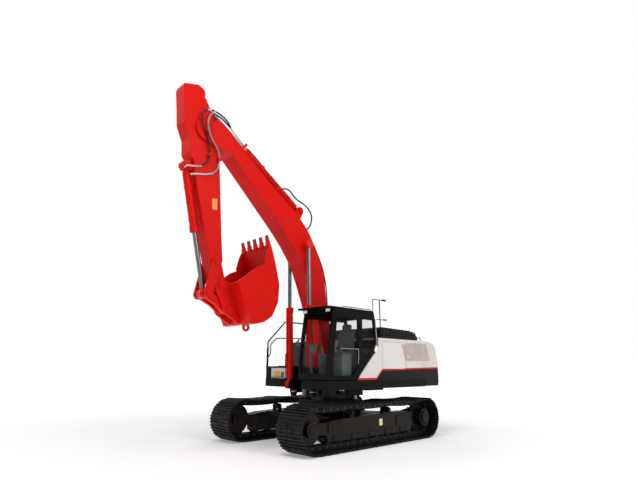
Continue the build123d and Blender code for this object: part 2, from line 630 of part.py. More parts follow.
def controls():
    """Two side consoles with levers, and the monitor's post."""
    floor = CAB_SILL + CAB_WALL + SEAT_GAP
    middle = (CAB_LEFT + CAB_RIGHT) / 2
    pieces = []
    for side in (-1, 1):
        y = sorted((middle + side * 262, middle + side * 400))
        console = block((660, 980), y, (floor, 2060))
        lever = Pos(900, (y[0] + y[1]) / 2, 2055) * Cylinder(22, 200, align=(Align.CENTER, Align.CENTER, Align.MIN))
        pieces.append(console + lever)
    post = block((1200, 1250), (CAB_RIGHT + 90, CAB_RIGHT + 130), (floor, 2100))
    screen = block((1180, 1240), (CAB_RIGHT + 70, CAB_RIGHT + 300), (2100, 2290))
    pieces.append(post + screen)
    return pieces


# ================================================================ boom
BOOM_TOP_EDGE = [(4100, 7400), (3900, 7390), (3720, 7290), (2400, 6310), (1560, 5760), (1070, 5320), (700, 4740), (430, 4150), (330, 3400)]
BOOM_UNDER_EDGE = [(830, 3420), (1000, 3850), (1240, 4360), (1600, 4830), (1920, 5170), (3500, 6660), (3640, 6680)]


def boom_outline():
    x, z = BOOM_FOOT
    foot = [(x - 110, z + 130), (x + 190, z + 60), (x + 400, z + 780)]
    return BOOM_TOP_EDGE + foot + BOOM_UNDER_EDGE


def boom():
    """Welded box boom: a foot tube, bosses for its cylinders, and a forked tip that holds the arm."""
    body = side_plate(boom_outline(), -BOOM_HALF, BOOM_HALF)
    body += tapered_link(BOOM_TIP, 290, (3640, 6910), 235, -BOOM_HALF, BOOM_HALF)
    body += tapered_link(BOOM_FOOT, 175, (300, 2500), 220, -BOOM_HALF, BOOM_HALF)
    body += cross_bar(BOOM_FOOT, 170, -BOOM_HALF - 75, BOOM_HALF + 75)
    # fork for the arm, open on top where the arm's tail swings back
    half = BOOM_HALF - EAR_THICK
    body -= cross_bar(BOOM_TIP, 520, -half, half)
    body -= side_plate([(2900, 7070), (3420, 6960), (3690, 6840), (4220, 6790), (4700, 7900), (2900, 7900)], -half, half)
    body -= cross_bar(BOOM_TIP, PIN_RADIUS + PIN_FIT, -BOOM_HALF - 100, BOOM_HALF + 100)
    body -= cross_bar(BOOM_FOOT, PIN_RADIUS + 10 + PIN_FIT, -BOOM_HALF - 200, BOOM_HALF + 200)
    # bosses of the boom cylinders
    lift = LIFT_Y - EYE_HALF - SIDE_GAP
    body += cross_bar(LIFT_EYE, 105, -lift, lift)
    # bracket of the arm cylinder
    for side in (-1, 1):
        y = sorted((side * (EYE_HALF + SIDE_GAP), side * (EYE_HALF + SIDE_GAP + 34)))
        body += tapered_link(CROWD_FOOT, 108, (1390, 5570), 150, *y)
    body += cross_bar(CROWD_FOOT, PIN_RADIUS, -EYE_HALF - SIDE_GAP - 48, EYE_HALF + SIDE_GAP + 48)
    return body


# ================================================================ cylinders
def cylinder_barrel(foot, eye, length, y=0.0):
    """Barrel on a narrow foot eye, with its head gland and the bore that the rod runs in."""
    head = along(foot, eye, length / distance(foot, eye))
    body = bar_between(foot, head, EYE_HALF - 2, 0, EYE_RADIUS * 0.6, 0)
    body += bar_between(foot, head, BARREL_RADIUS, 0, EYE_RADIUS + 40, 0)
    body += bar_between(foot, head, BARREL_RADIUS + 7, 0, length - 110, 0)
    body += cross_bar(foot, EYE_RADIUS, -EYE_HALF, EYE_HALF)
    body -= bar_between(foot, head, ROD_RADIUS + PIN_FIT, 0, EYE_RADIUS + 40, -20)
    body -= cross_bar(foot, PIN_RADIUS + PIN_FIT, -200, 200)
    return Pos(0, y, 0) * body


def cylinder_rod(foot, eye, length, stroke, y=0.0):
    """Rod that starts inside the barrel, with the eye at its end filled by a stub of its own pin."""
    whole = distance(foot, eye)
    start = max(length - 330, stroke + EYE_RADIUS + 46)
    rod = bar_between(foot, eye, ROD_RADIUS, 0, start, EYE_RADIUS * 0.6)
    neck = bar_between(foot, eye, EYE_HALF - 2, 0, whole - EYE_RADIUS - 60, EYE_RADIUS * 0.6)
    return Pos(0, y, 0) * (rod + neck + cross_bar(eye, EYE_RADIUS, -EYE_HALF, EYE_HALF))


# ================================================================ arm
ARM_FRONT_EDGE = [(3840, 3875), (3870, 3960), (3940, 4160), (4070, 4610), (4330, 5550), (4400, 5850), (4460, 6060),
                  (4470, 6200), (4620, 6400), (4650, 6750), (4800, 7080), (4845, 7500), (4900, 7950), (4880, 8030)]
ARM_REAR_EDGE = [(4520, 8150), (4400, 8090), (4330, 7870), (4060, 7420), (3940, 7080), (3900, 6700), (3840, 6300),
                 (3780, 5690), (3660, 4520), (3585, 3900)]
IDLER_BOSS = 118.0
NOSE_RADIUS = 160.0


def arm():
    """Box arm with a forked tail, a boss for the boom's fork and a narrow nose for the bucket."""
    body = side_plate(ARM_FRONT_EDGE + ARM_REAR_EDGE, -ARM_HALF, ARM_HALF)
    body += tapered_link(IDLER_PIN, IDLER_BOSS, (3850, 4450), 180, -ARM_HALF, ARM_HALF)
    body += tapered_link(ARM_NOSE, NOSE_RADIUS, (3730, 3950), 150, -NOSE_HALF, NOSE_HALF)
    body += cross_bar(CROWD_EYE, 150, -ARM_HALF, ARM_HALF)
    body += cross_bar(BOOM_TIP, 230, -BOOM_HALF + EAR_THICK + SIDE_GAP, BOOM_HALF - EAR_THICK - SIDE_GAP)
    # slot of the tail, open to the rear and the top
    body -= side_plate([(3300, 7430), (4650, 7430), (4750, 8300), (3300, 8300)], -ARM_HALF + 48, ARM_HALF - 48)
    for side in (-1, 1):
        y = sorted((side * (EYE_HALF + SIDE_GAP), side * (ARM_HALF - 47)))
        body += cross_bar(CROWD_EYE, 100, *y)
        # bucket cylinder bracket
        y = sorted((side * (EYE_HALF + SIDE_GAP), side * (EYE_HALF + SIDE_GAP + 30)))
        body += tapered_link(CURL_FOOT, 110, (4420, 6150), 140, *y)
        # idler link bosses
        y = sorted((side * (ARM_HALF - 1), side * (ARM_HALF + IDLER_SEAT)))
        body += cross_bar(IDLER_PIN, 96, *y)
    body += cross_bar(CURL_FOOT, PIN_RADIUS, -EYE_HALF - SIDE_GAP - 44, EYE_HALF + SIDE_GAP + 44)
    # pins that the arm brings: boom tip, idler links and bucket
    body += cross_bar(BOOM_TIP, PIN_RADIUS, -BOOM_HALF - 32, BOOM_HALF + 32)
    body += cross_bar(IDLER_PIN, PIN_RADIUS - 10, -ARM_HALF - IDLER_SEAT - 60, ARM_HALF + IDLER_SEAT + 60)
    body += cross_bar(ARM_NOSE, PIN_RADIUS, -NOSE_HALF - SIDE_GAP - 52, NOSE_HALF + SIDE_GAP + 52)
    return body


def idler_links():
    """Two flat links outside the arm, each with the stub of the pin at its lower end."""
    links = []
    low = ARM_HALF + IDLER_SEAT + SIDE_GAP
    for side in (-1, 1):
        y = sorted((side * low, side * (low + 40)))
        link = tapered_link(IDLER_PIN, 96, LINK_PIN, 105, *y)
        link -= cross_bar(IDLER_PIN, PIN_RADIUS - 10 + PIN_FIT, y[0] - 5, y[1] + 5)
        link += cross_bar(LINK_PIN, PIN_RADIUS, *sorted((side * (low - 2 * SIDE_GAP), side * (low + 52))))
        links.append(link)
    return links


def bucket_link():
    """Forked link between the idler links' pin and the bucket."""
    sides = []
    for side in (-1, 1):
        y = sorted((side * 90, side * (NOSE_HALF - 5)))
        waist = along(LINK_PIN, BUCKET_PIN, 0.5)
        sides += [tapered_link(LINK_PIN, 105, waist, 80, *y), tapered_link(waist, 80, BUCKET_PIN, 112, *y)]
    web = tapered_link(along(LINK_PIN, BUCKET_PIN, 0.72), 60, BUCKET_PIN, 90, -91, 91)
    body = web + sides
    return body - cross_bar(BUCKET_PIN, PIN_RADIUS + PIN_FIT, -500, 500)


# ================================================================ bucket
BUCKET_BACK = [(2535, 4560), (2470, 4400), (2372, 4120), (2240, 3630), (2266, 3210), (2425, 2880),
               (2645, 2733), (2880, 2672)]
BUCKET_HINGE = [(2990, 2684), (3180, 3060), (3400, 3550)]
BUCKET_CHEEK = [(3460, 3530), (3180, 3730), (2920, 3950), (2680, 4070), (2590, 4400), (2572, 4560)]
SHELL_THICK = 32.0
CHEEK_THICK = 28.0
TOOTH_COUNT = 5


def bucket_shell():
    """The curved back of the bucket, from the lip round to the hinge plate."""
    half = BUCKET_HALF - CHEEK_THICK
    plate = side_plate(BUCKET_BACK + BUCKET_HINGE + [(3358, 3569), (2950, 3900), (2575, 4560)], -half, half)
    plate -= side_plate(HOLLOW, -half - 1, half + 1)
    eye = tapered_link(LIFTING_EYE, 90, (2765, 2750), 70, -22, 22) - cross_bar(LIFTING_EYE, 45, -50, 50)
    return plate + (eye - side_plate(HOLLOW, -50, 50))


def bucket_cheeks():
    """Side plates, with the bevelled cutters on their front edges."""
    cheeks = []
    for side in (-1, 1):
        y = sorted((side * (BUCKET_HALF - CHEEK_THICK), side * BUCKET_HALF))
        cheeks.append(side_plate(BUCKET_BACK + BUCKET_HINGE + BUCKET_CHEEK, *y))
    return cheeks


def bucket_ears():
    """Two ears on the hinge plate, bored for the arm's pin, that carry the link's pin."""
    low = NOSE_HALF + SIDE_GAP
    ears = cross_bar(BUCKET_PIN, PIN_RADIUS, -low - 50, low + 50)
    for side in (-1, 1):
        y = sorted((side * low, side * (low + 38)))
        ends = [(Pos(x, z) * Circle(r)).edges() for (x, z), r in
                ((ARM_NOSE, 150), (BUCKET_PIN, 130), ((3090, 2752), 58), ((3330, 3510), 45))]
        ear = extrude(make_hull([edge for edges in ends for edge in edges]), amount=y[1] - y[0])
        ears += Pos(0, y[1], 0) * Rot(90, 0, 0) * ear
    ears -= side_plate(BUCKET_BACK + BUCKET_HINGE, -BUCKET_HALF, BUCKET_HALF)
    return ears - cross_bar(ARM_NOSE, PIN_RADIUS + PIN_FIT, -500, 500)


LIFTING_EYE = (2740, 2636)
HOLLOW = [(2625, 4696), (2500, 4389), (2403, 4111), (2272, 3627), (2298, 3218), (2450, 2902),
          (2658, 2763), (2882, 2704), (2969, 2714), (3151, 3074), (3416, 3663), (3500, 4000),
          (3000, 4700)]


def bucket_teeth():
    """Forged teeth on the lip, each an adapter with a wedge point."""
    teeth = []
    for index in range(TOOTH_COUNT):
        y = (index / (TOOTH_COUNT - 1) - 0.5) * 2 * (BUCKET_HALF - 80)
        teeth.append(side_plate([(2529, 4560), (2579, 4560), (2626, 4772), (2604, 4790)], y - 48, y + 48))
    return teeth


# ================================================================ rails and small fittings
def tube_path(points, radius):
    """A bent tube: straight runs joined by small bends."""
    path = FilletPolyline(*points, radius=60)
    plane = Plane(origin=path @ 0, z_dir=path % 0)
    return sweep(plane * Circle(radius), path=path)


def handrails():
    y = -DECK_HALF_WIDTH + 25
    rails = []
    rails.append(tube_path([(945, y, DECK_TOP + SEAT_GAP), (945, y, 2440), (340, y, 3020), (-420, y, 3020), (-420, y, 2440 + SEAT_GAP)], 19))
    return rails


def track_parts():
    yield "track_left", track_loop(1)
    yield "track_right", track_loop(-1)
    yield "track_frame_left", track_frame(1)
    yield "track_frame_right", track_frame(-1)
    yield "sprockets", [sprocket(1), sprocket(-1)]
    yield "idlers", [idler(1), idler(-1)]
    yield "bottom_rollers", bottom_rollers(1) + bottom_rollers(-1)
    yield "carrier_rollers", carrier_rollers(1) + carrier_rollers(-1)
    yield "car_body", car_body()
    yield "swing_bearing", swing_bearing()


def upper_parts():
    yield "deck", deck()
    yield "counterweight", counterweight()
    yield "house_walls", house_walls()
    for name in DOORS:
        yield name, house_door(name)
    yield "engine_hood", engine_hood()
    yield "engine_block", engine_block()
    yield "right_tanks", right_tanks()
    yield "toolbox", toolbox()
    yield "toolbox_lid", toolbox_lid()
    yield from cab_panels()
    yield "cab_glass", cab_glass()
    yield "cab_door", cab_door()
    yield "cab_door_glass", cab_door_glass()
    yield "cab_mounts", cab_mount()
    yield "seat", seat()
    yield "controls", controls()
    yield "handrails", handrails()


def working_parts():
    yield "boom", boom()
    yield "boom_barrels", [cylinder_barrel(LIFT_FOOT, LIFT_EYE, LIFT_BARREL, s * LIFT_Y) for s in (-1, 1)]
    yield "boom_rods", [cylinder_rod(LIFT_FOOT, LIFT_EYE, LIFT_BARREL, LIFT_STROKE, s * LIFT_Y) for s in (-1, 1)]
    yield "arm_barrel", cylinder_barrel(CROWD_FOOT, CROWD_EYE, CROWD_BARREL)
    yield "arm_rod", cylinder_rod(CROWD_FOOT, CROWD_EYE, CROWD_BARREL, CROWD_STROKE)
    yield "arm", arm()
    yield "bucket_barrel", cylinder_barrel(CURL_FOOT, LINK_PIN, CURL_BARREL)
    yield "bucket_rod", cylinder_rod(CURL_FOOT, LINK_PIN, CURL_BARREL, CURL_STROKE)
    yield "idler_links", idler_links()
    yield "bucket_link", bucket_link()
    yield "bucket_shell", bucket_shell()
    yield "bucket_cheeks", bucket_cheeks()
    yield "bucket_ears", bucket_ears()
    yield "bucket_teeth", bucket_teeth()


def write(name, shapes):
    """Moves a sub-part into the part's frame and writes it."""
    if not isinstance(shapes, list):
        shapes = [shapes]
    solids = [solid for shape in shapes for solid in shape.solids()]
    moved = [Pos(SWING_X, 0, 0) * solid for solid in solids]
    whole = moved[0] if len(moved) == 1 else Compound(children=moved)
    whole.label = name
    export_step(whole, f"parts/{name}.step")


def main():
    os.makedirs("parts", exist_ok=True)
    for group in (track_parts(), upper_parts(), working_parts()):
        for name, shapes in group:
            write(name, shapes)


if __name__ == "__main__":
    main()
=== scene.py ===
"""Crawler excavator: finishes, hoses, lamps, rails and trim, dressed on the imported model. Metres, +X forward."""
import math

import bmesh
import bpy
from mathutils import Matrix, Vector


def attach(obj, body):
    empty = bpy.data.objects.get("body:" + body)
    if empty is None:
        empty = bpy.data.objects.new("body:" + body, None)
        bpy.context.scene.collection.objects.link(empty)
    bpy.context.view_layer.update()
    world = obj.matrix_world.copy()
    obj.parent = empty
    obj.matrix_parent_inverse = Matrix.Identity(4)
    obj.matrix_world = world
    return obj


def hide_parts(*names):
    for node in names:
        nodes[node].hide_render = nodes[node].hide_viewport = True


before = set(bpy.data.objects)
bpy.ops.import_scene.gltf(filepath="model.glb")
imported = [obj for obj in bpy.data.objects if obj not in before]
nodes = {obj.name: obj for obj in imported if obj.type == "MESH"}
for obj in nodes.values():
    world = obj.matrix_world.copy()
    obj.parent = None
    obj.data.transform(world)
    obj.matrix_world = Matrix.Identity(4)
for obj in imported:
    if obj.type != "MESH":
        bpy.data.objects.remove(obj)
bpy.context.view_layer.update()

# ---------------------------------------------------------------- driving sizes
# Points below are (x, y, z) or (x, z) from the turntable's axis; each piece is moved by SWING_X at the end.
SWING_X = -0.8
MM = 0.001
BOOM_FOOT, BOOM_TIP = (0.150, 1.850), (4.220, 7.080)
ARM_NOSE, IDLER_PIN = (3.600, 3.500), (3.770, 4.000)
LINK_PIN, BUCKET_PIN = (3.910, 3.290), (3.360, 2.985)
LIFT_FOOT, LIFT_EYE = (1.040, 1.340), (1.140, 4.880)
CROWD_FOOT, CROWD_EYE = (1.200, 5.850), (4.480, 7.970)
CURL_FOOT = (4.600, 6.110)
BOOM_HALF, ARM_HALF = 0.235, 0.175
LIFT_Y, PIPE_Y = 0.380, 0.215
TRACK_Y, WHEEL_BASE, AXLE_Z, FRAME_HALF = 1.300, 4.040, 0.500, 0.165
SHOE_COUNT, SHOE_THICK, SHOE_SEAT = 50, 0.014, 0.456
LINK_HEIGHT, LINK_FACE = 0.120, 0.097
CARRIER_X, CARRIER_Z, TRACK_SAG = 0.680, 0.748, 0.034
RACE_RADIUS, RACE_TOP, RACE_BOLTS = 0.765, 0.960, 40
DECK_BOTTOM, DECK_TOP = 1.265, 1.460
HOUSE_SIDE, DOOR_FACE, HOUSE_TOP = 1.480, 1.484, 2.480
CAB_LEFT, CAB_RIGHT, CAB_ROOF = 1.490, 0.490, 3.130


# ---------------------------------------------------------------- materials
def linear(code):
    """sRGB hex text as a linear colour."""
    parts = [int(code[i:i + 2], 16) / 255 for i in (1, 3, 5)]
    return tuple(p / 12.92 if p <= 0.04045 else ((p + 0.055) / 1.055) ** 2.4 for p in parts) + (1.0,)


def add(tree, kind, inputs=None, **settings):
    """Adds a node; an input given as a socket is linked, and any other value is set."""
    made = tree.nodes.new(kind)
    for key, value in settings.items():
        setattr(made, key, value)
    for key, value in (inputs or {}).items():
        if isinstance(value, bpy.types.NodeSocket):
            tree.links.new(value, made.inputs[key])
        else:
            made.inputs[key].default_value = value
    return made


def surface(name, **sockets):
    """A material with one Principled shader, and the object coordinates its patterns are laid on."""
    material = bpy.data.materials.new(name)
    material.use_nodes = True
    tree = material.node_tree
    tree.nodes.clear()
    shader = add(tree, "ShaderNodeBsdfPrincipled", {key.replace("_", " "): value for key, value in sockets.items()})
    add(tree, "ShaderNodeOutputMaterial", {"Surface": shader.outputs[0]})
    where = add(tree, "ShaderNodeTexCoord").outputs["Object"]
    return material, tree, shader, where


def within(tree, where, low, high):
    """1 inside a box between two corners, given from the turntable's axis."""
    middle = [(a + b) / 2 for a, b in zip(low, high)]
    half = [(b - a) / 2 for a, b in zip(low, high)]
    middle[0] += SWING_X
    off = add(tree, "ShaderNodeVectorMath", {0: where, 1: middle}, operation="SUBTRACT")
    off = add(tree, "ShaderNodeVectorMath", {0: off.outputs[0]}, operation="ABSOLUTE")
    off = add(tree, "ShaderNodeVectorMath", {0: off.outputs[0], 1: half}, operation="DIVIDE")
    part = add(tree, "ShaderNodeSeparateXYZ", {0: off.outputs[0]}).outputs
    most = add(tree, "ShaderNodeMath", {0: part[0], 1: part[1]}, operation="MAXIMUM")
    most = add(tree, "ShaderNodeMath", {0: most.outputs[0], 1: part[2]}, operation="MAXIMUM")
    return add(tree, "ShaderNodeMath", {0: most.outputs[0], 1: 1.0}, operation="LESS_THAN").outputs[0]


def around(tree, where, pin, radius):
    """1 within a radius of a pin that runs across the machine."""
    flat = add(tree, "ShaderNodeVectorMath", {0: where, 1: (1, 0, 1)}, operation="MULTIPLY")
    centre = (pin[0] + SWING_X, 0, pin[1])
    reach = add(tree, "ShaderNodeVectorMath", {0: flat.outputs[0], 1: centre}, operation="DISTANCE")
    return add(tree, "ShaderNodeMath", {0: reach.outputs["Value"], 1: radius}, operation="LESS_THAN").outputs[0]


def stripe_line(tree, where):
    """Height above the red line that steps up behind the cab and rises a little to the tail."""
    along = add(tree, "ShaderNodeSeparateXYZ", {0: where}).outputs
    step = add(tree, "ShaderNodeMapRange", {"Value": along[0], "From Min": -0.39 + SWING_X, "From Max": -0.16 + SWING_X,
                                            "To Min": 1.700, "To Max": 1.492}).outputs[0]
    rise = add(tree, "ShaderNodeMapRange", {"Value": along[0], "From Min": -2.95 + SWING_X, "From Max": -0.39 + SWING_X,
                                            "To Min": 0.055, "To Max": 0.0}).outputs[0]
    line = add(tree, "ShaderNodeMath", {0: step, 1: rise}, operation="ADD").outputs[0]
    return add(tree, "ShaderNodeMath", {0: along[2], 1: line}, operation="SUBTRACT").outputs[0]


def skirt(tree, where):
    """1 below the red line."""
    return add(tree, "ShaderNodeMath", {0: stripe_line(tree, where), 1: 0.0}, operation="LESS_THAN").outputs[0]


def red_line(tree, where):
    """1 on the red line, 44 mm wide."""
    off = add(tree, "ShaderNodeMath", {0: stripe_line(tree, where)}, operation="ABSOLUTE").outputs[0]
    return add(tree, "ShaderNodeMath", {0: off, 1: 22 * MM}, operation="LESS_THAN").outputs[0]


def tank_front(tree, where):
    """1 on the tank's front and inner faces."""
    return within(tree, where, (-0.9, -1.44, 1.4), (0.3, -0.5, 2.5))


def toolbox_front(tree, where):
    """1 on the plate across the toolbox's front."""
    return within(tree, where, (0.95, -1.20, 1.475), (1.05, -0.60, 1.735))


def finish(name, code, shade, cloud=0.6, grain=6 * MM, depth=0.15 * MM, rough=(0.28, 0.4), bands=(), **sockets):
    """Two close tones in clouds of one size, roughness that drifts with them and a raised grain; bands paint over."""
    material, tree, shader, where = surface(name, **sockets)
    clouds = add(tree, "ShaderNodeTexNoise", {"Vector": where, "Scale": 1 / cloud, "Detail": 3.0}).outputs[0]
    spread = add(tree, "ShaderNodeMapRange", {"Value": clouds, "From Min": 0.36, "From Max": 0.66}).outputs[0]
    colour = add(tree, "ShaderNodeMix", {0: spread, 6: linear(code), 7: linear(shade)}, data_type="RGBA").outputs[2]
    for paint, part in bands:
        mask = part(tree, where)
        colour = add(tree, "ShaderNodeMix", {0: mask, 6: colour, 7: linear(paint)}, data_type="RGBA").outputs[2]
    tree.links.new(colour, shader.inputs["Base Color"])
    drift = add(tree, "ShaderNodeMapRange", {"Value": spread, "To Min": rough[0], "To Max": rough[1]})
    tree.links.new(drift.outputs[0], shader.inputs["Roughness"])
    peel = add(tree, "ShaderNodeTexNoise", {"Vector": where, "Scale": 1 / grain, "Detail": 1.5})
    tilt = add(tree, "ShaderNodeBump", {"Height": peel.outputs[0], "Distance": depth, "Strength": 0.35})
    tree.links.new(tilt.outputs[0], shader.inputs["Normal"])
    return material


def glass(name, code, film, alpha):
    """Laminated pane, see-through, with a thin film of dust that thickens in patches of about 0.7 m."""
    material, tree, shader, where = surface(name, Roughness=0.04, IOR=1.5)
    dust = add(tree, "ShaderNodeTexNoise", {"Vector": where, "Scale": 1.4, "Detail": 2.0}).outputs[0]
    tint = add(tree, "ShaderNodeMix", {0: dust, 6: linear(code), 7: linear(film)}, data_type="RGBA").outputs[2]
    tree.links.new(tint, shader.inputs["Base Color"])
    veil = add(tree, "ShaderNodeMapRange", {"Value": dust, "To Min": alpha - 0.03, "To Max": alpha + 0.03})
    tree.links.new(veil.outputs[0], shader.inputs["Alpha"])
    return material


def chromed(name, pin):
    """Ground and hard-chromed rod: mirror-like grey with oil marks of 200 mm, and an eye painted like the rest."""
    material, tree, shader, where = surface(name, Specular_IOR_Level=0.4)
    eye = around(tree, where, pin, 0.150)
    marks = add(tree, "ShaderNodeTexNoise", {"Vector": where, "Scale": 1 / 0.2, "Detail": 1.0}).outputs[0]
    greys = {0: marks, 6: linear("#5f6063"), 7: linear("#75767a")}
    bright = add(tree, "ShaderNodeMix", greys, data_type="RGBA").outputs[2]
    colour = add(tree, "ShaderNodeMix", {0: eye, 6: bright, 7: linear(RED_TONE)}, data_type="RGBA").outputs[2]
    tree.links.new(colour, shader.inputs["Base Color"])
    metal = add(tree, "ShaderNodeMath", {0: 1.0, 1: eye}, operation="SUBTRACT")
    tree.links.new(metal.outputs[0], shader.inputs["Metallic"])
    rough = add(tree, "ShaderNodeMapRange", {"Value": eye, "To Min": 0.22, "To Max": 0.36})
    tree.links.new(rough.outputs[0], shader.inputs["Roughness"])
    return material


def cloth(name, code, shade, twill):
    """Woven cover: soft sheen at the edges over diagonal ridges."""
    material, tree, shader, where = surface(name, Roughness=0.9, Sheen_Weight=0.2)
    weave = add(tree, "ShaderNodeTexWave", {"Vector": where, "Scale": 1 / twill, "Distortion": 1.5},
                bands_direction="DIAGONAL").outputs[1]
    colour = add(tree, "ShaderNodeMix", {0: weave, 6: linear(code), 7: linear(shade)}, data_type="RGBA").outputs[2]
    tree.links.new(colour, shader.inputs["Base Color"])
    tilt = add(tree, "ShaderNodeBump", {"Height": weave, "Distance": 1.5 * MM, "Strength": 0.5})
    tree.links.new(tilt.outputs[0], shader.inputs["Normal"])
    return material


RED_TONE, BLACK_TONES = "#d2130c", ("#0b0b0b", "#0f0e0e")
WHITE_TONES, SKIRT_WHITE_TONES = ("#dcd7d3", "#d6d1cd"), ("#d9d4d0", "#d3cecb")

# Enamels: sprayed over steel, even in colour, with an orange peel that softens the highlights.
# The peel, 1 to 2 mm on the real plates, is drawn 6 mm wide so that it shows.
RED = finish("red_enamel", RED_TONE, "#c9120b", Specular_IOR_Level=0.08, Coat_Weight=0.02, Coat_Roughness=0.15)
WHITE = finish("white_enamel", *WHITE_TONES, Specular_IOR_Level=0.4, Coat_Weight=0.2, Coat_Roughness=0.12)
# the house: white over a black skirt, parted by a red line
HOUSE = finish("white_enamel_with_skirt", *SKIRT_WHITE_TONES, Specular_IOR_Level=0.1,
               bands=(("#100c0c", skirt), ("#c31a1f", red_line)))
# the tank: white side, black front and inner faces
TANK = finish("tank_enamel", *WHITE_TONES, Specular_IOR_Level=0.3, bands=(("#101010", tank_front),))
TOOLBOX = finish("toolbox_enamel", *BLACK_TONES, Specular_IOR_Level=0.08, bands=(("#d9d4d0", toolbox_front),))
BLACK = finish("black_enamel", *BLACK_TONES, rough=(0.26, 0.38), Specular_IOR_Level=0.06)
# gloss black on the turntable and the hood: sharper reflections than on the frame
GLOSS = finish("gloss_black_enamel", "#080808", "#0c0c0c", rough=(0.14, 0.22), Specular_IOR_Level=0.2)
# chassis black, dulled brown by dust in patches of 250 mm
CHASSIS = finish("chassis_enamel", "#110e0b", "#1c1611", cloud=0.25, rough=(0.35, 0.55), Specular_IOR_Level=0.12)
# teeth dipped in thin red paint, painted darker than the bucket's red to stand in for the shade they sit in, in patches
# of 100 mm
TOOTH_PAINTED_SHADE = finish("red_teeth_painted_shade", "#a3160f", "#8d140e", cloud=0.1, rough=(0.45, 0.6), Specular_IOR_Level=0.25)
# pressed louvre panel, beige, seen between its slats
LOUVRE = finish("louvre_enamel", "#c3b6ad", "#b9aca3", cloud=0.2, Specular_IOR_Level=0.3)
# rolled manganese steel: blue-black scale, rubbed in patches of 90 mm, with pits of 9 mm
STEEL = finish("worn_track_steel", "#0c0d0f", "#201f1e", cloud=0.09, grain=9 * MM, depth=0.8 * MM, rough=(0.62, 0.42),
               Metallic=0.3, Specular_IOR_Level=0.15)
# bolt heads and pins rubbed towards bare steel in patches of 50 mm
WORN = finish("rubbed_steel", "#4a443d", "#2a2622", cloud=0.05, grain=8 * MM, depth=0.5 * MM, rough=(0.5, 0.36),
              Metallic=0.6)
CHROMES = {"boom_rods": chromed("boom_rod_chrome", LIFT_EYE), "arm_rod": chromed("arm_rod_chrome", CROWD_EYE),
           "bucket_rod": chromed("bucket_rod_chrome", LINK_PIN)}
# zinc-plated tube: pale grey with a soft, slightly milky shine; on the cab's pale rails and the bands under the deck
# this pale grey is a painted highlight
PIPE_AND_HIGHLIGHT_GREY = finish("zinc_pipe_and_highlight_grey", "#b9b1ab", "#aca49e", cloud=0.2, rough=(0.3, 0.4), Metallic=0.3)
PANE = glass("cab_pane", "#0c1110", "#1c2321", 0.08)
# seat cover, a twill of 1.5 mm drawn 12 mm wide so that it shows
SEAT = cloth("seat_twill", "#4c5c58", "#3a4844", 12 * MM)
# injection-moulded ABS with a leather grain, which keeps the consoles dull; 1 mm drawn 4 mm wide
TRIM = finish("moulded_trim", "#4b5854", "#3f4a47", cloud=0.15, grain=4 * MM, depth=0.4 * MM, rough=(0.5, 0.62))
# extruded rubber: dull black with a dusty bloom and a cloth print of 3 mm
RUBBER = finish("hose_rubber", "#121212", "#181717", cloud=0.08, grain=3 * MM, depth=0.3 * MM, rough=(0.5, 0.65),
                Specular_IOR_Level=0.25)
# woven nylon sleeve over a hose: matt grey with a raised weave of 4 mm
SLEEVE = finish("woven_hose_sleeve", "#8d8580", "#7c746f", cloud=0.08, grain=4 * MM, depth=0.5 * MM, rough=(0.6, 0.75))
# sand-cast iron: dull, pitted by sand of 2 mm drawn 5 mm wide
CASTING = finish("engine_casting", "#262626", "#1f1f1f", cloud=0.1, grain=5 * MM, depth=0.6 * MM, rough=(0.55, 0.7))
# polycarbonate lens: bright, broken up by moulded facets of 14 mm
LENS = finish("lamp_lens", "#f4f4f2", "#e4e6e6", cloud=0.02, grain=14 * MM, depth=1.0 * MM, rough=(0.1, 0.2))
# vinyl labels, half matt, a little faded in patches of 100 mm
ORANGE = finish("orange_label", "#f59a3d", "#ee8f30", cloud=0.1, rough=(0.4, 0.5))
YELLOW = finish("yellow_label", "#d9a92f", "#cf9f2a", cloud=0.1, rough=(0.4, 0.5))
IVORY = finish("ivory_label", "#e7dfb4", "#ddd5aa", cloud=0.1, rough=(0.4, 0.5))

PAINTS = {
    RED: ["boom", "arm", "boom_barrels", "arm_barrel", "bucket_barrel", "idler_links", "bucket_link",
          "bucket_shell", "bucket_cheeks", "bucket_ears"],
    # teeth: red, painted darker as shade
    TOOTH_PAINTED_SHADE: ["bucket_teeth"],
    STEEL: ["track_left", "track_right", "sprockets", "bottom_rollers", "carrier_rollers"],
    CHASSIS: ["car_body", "track_frame_left", "track_frame_right", "idlers"],
    GLOSS: ["swing_bearing"],
    WHITE: ["left_front_door", "right_door"],
    TOOLBOX: ["toolbox"],
    HOUSE: ["house_walls", "left_rear_door", "counterweight"],
    TANK: ["right_tanks"],
    PANE: ["cab_glass", "cab_door_glass"],
    TRIM: ["controls"],
    CASTING: ["engine_block"],
}
finish_of = {name: material for material, names in PAINTS.items() for name in names}
finish_of.update(CHROMES)
for name, node in nodes.items():
    node.data.materials.clear()
    node.data.materials.append(finish_of.get(name, BLACK))


# ---------------------------------------------------------------- shapes
def prism(mesh, outline, low, high):
    """A plate cut to (x, z) points, from one y to another."""
    ends = [[mesh.verts.new((x, y, z)) for x, z in outline] for y in (low, high)]
    mesh.faces.new(ends[0])
    mesh.faces.new(ends[1][::-1])
    for a in range(len(outline)):
        b = (a + 1) % len(outline)
        mesh.faces.new((ends[0][b], ends[0][a], ends[1][a], ends[1][b]))


def block(mesh, x, y, z):
    """A box between pairs of x, y and z."""
    prism(mesh, [(x[0], z[0]), (x[1], z[0]), (x[1], z[1]), (x[0], z[1])], *y)


def sided(side, near, far):
    """The y range from near to far on the cab's side, 1, or the other, -1."""
    return sorted((side * near, side * far))


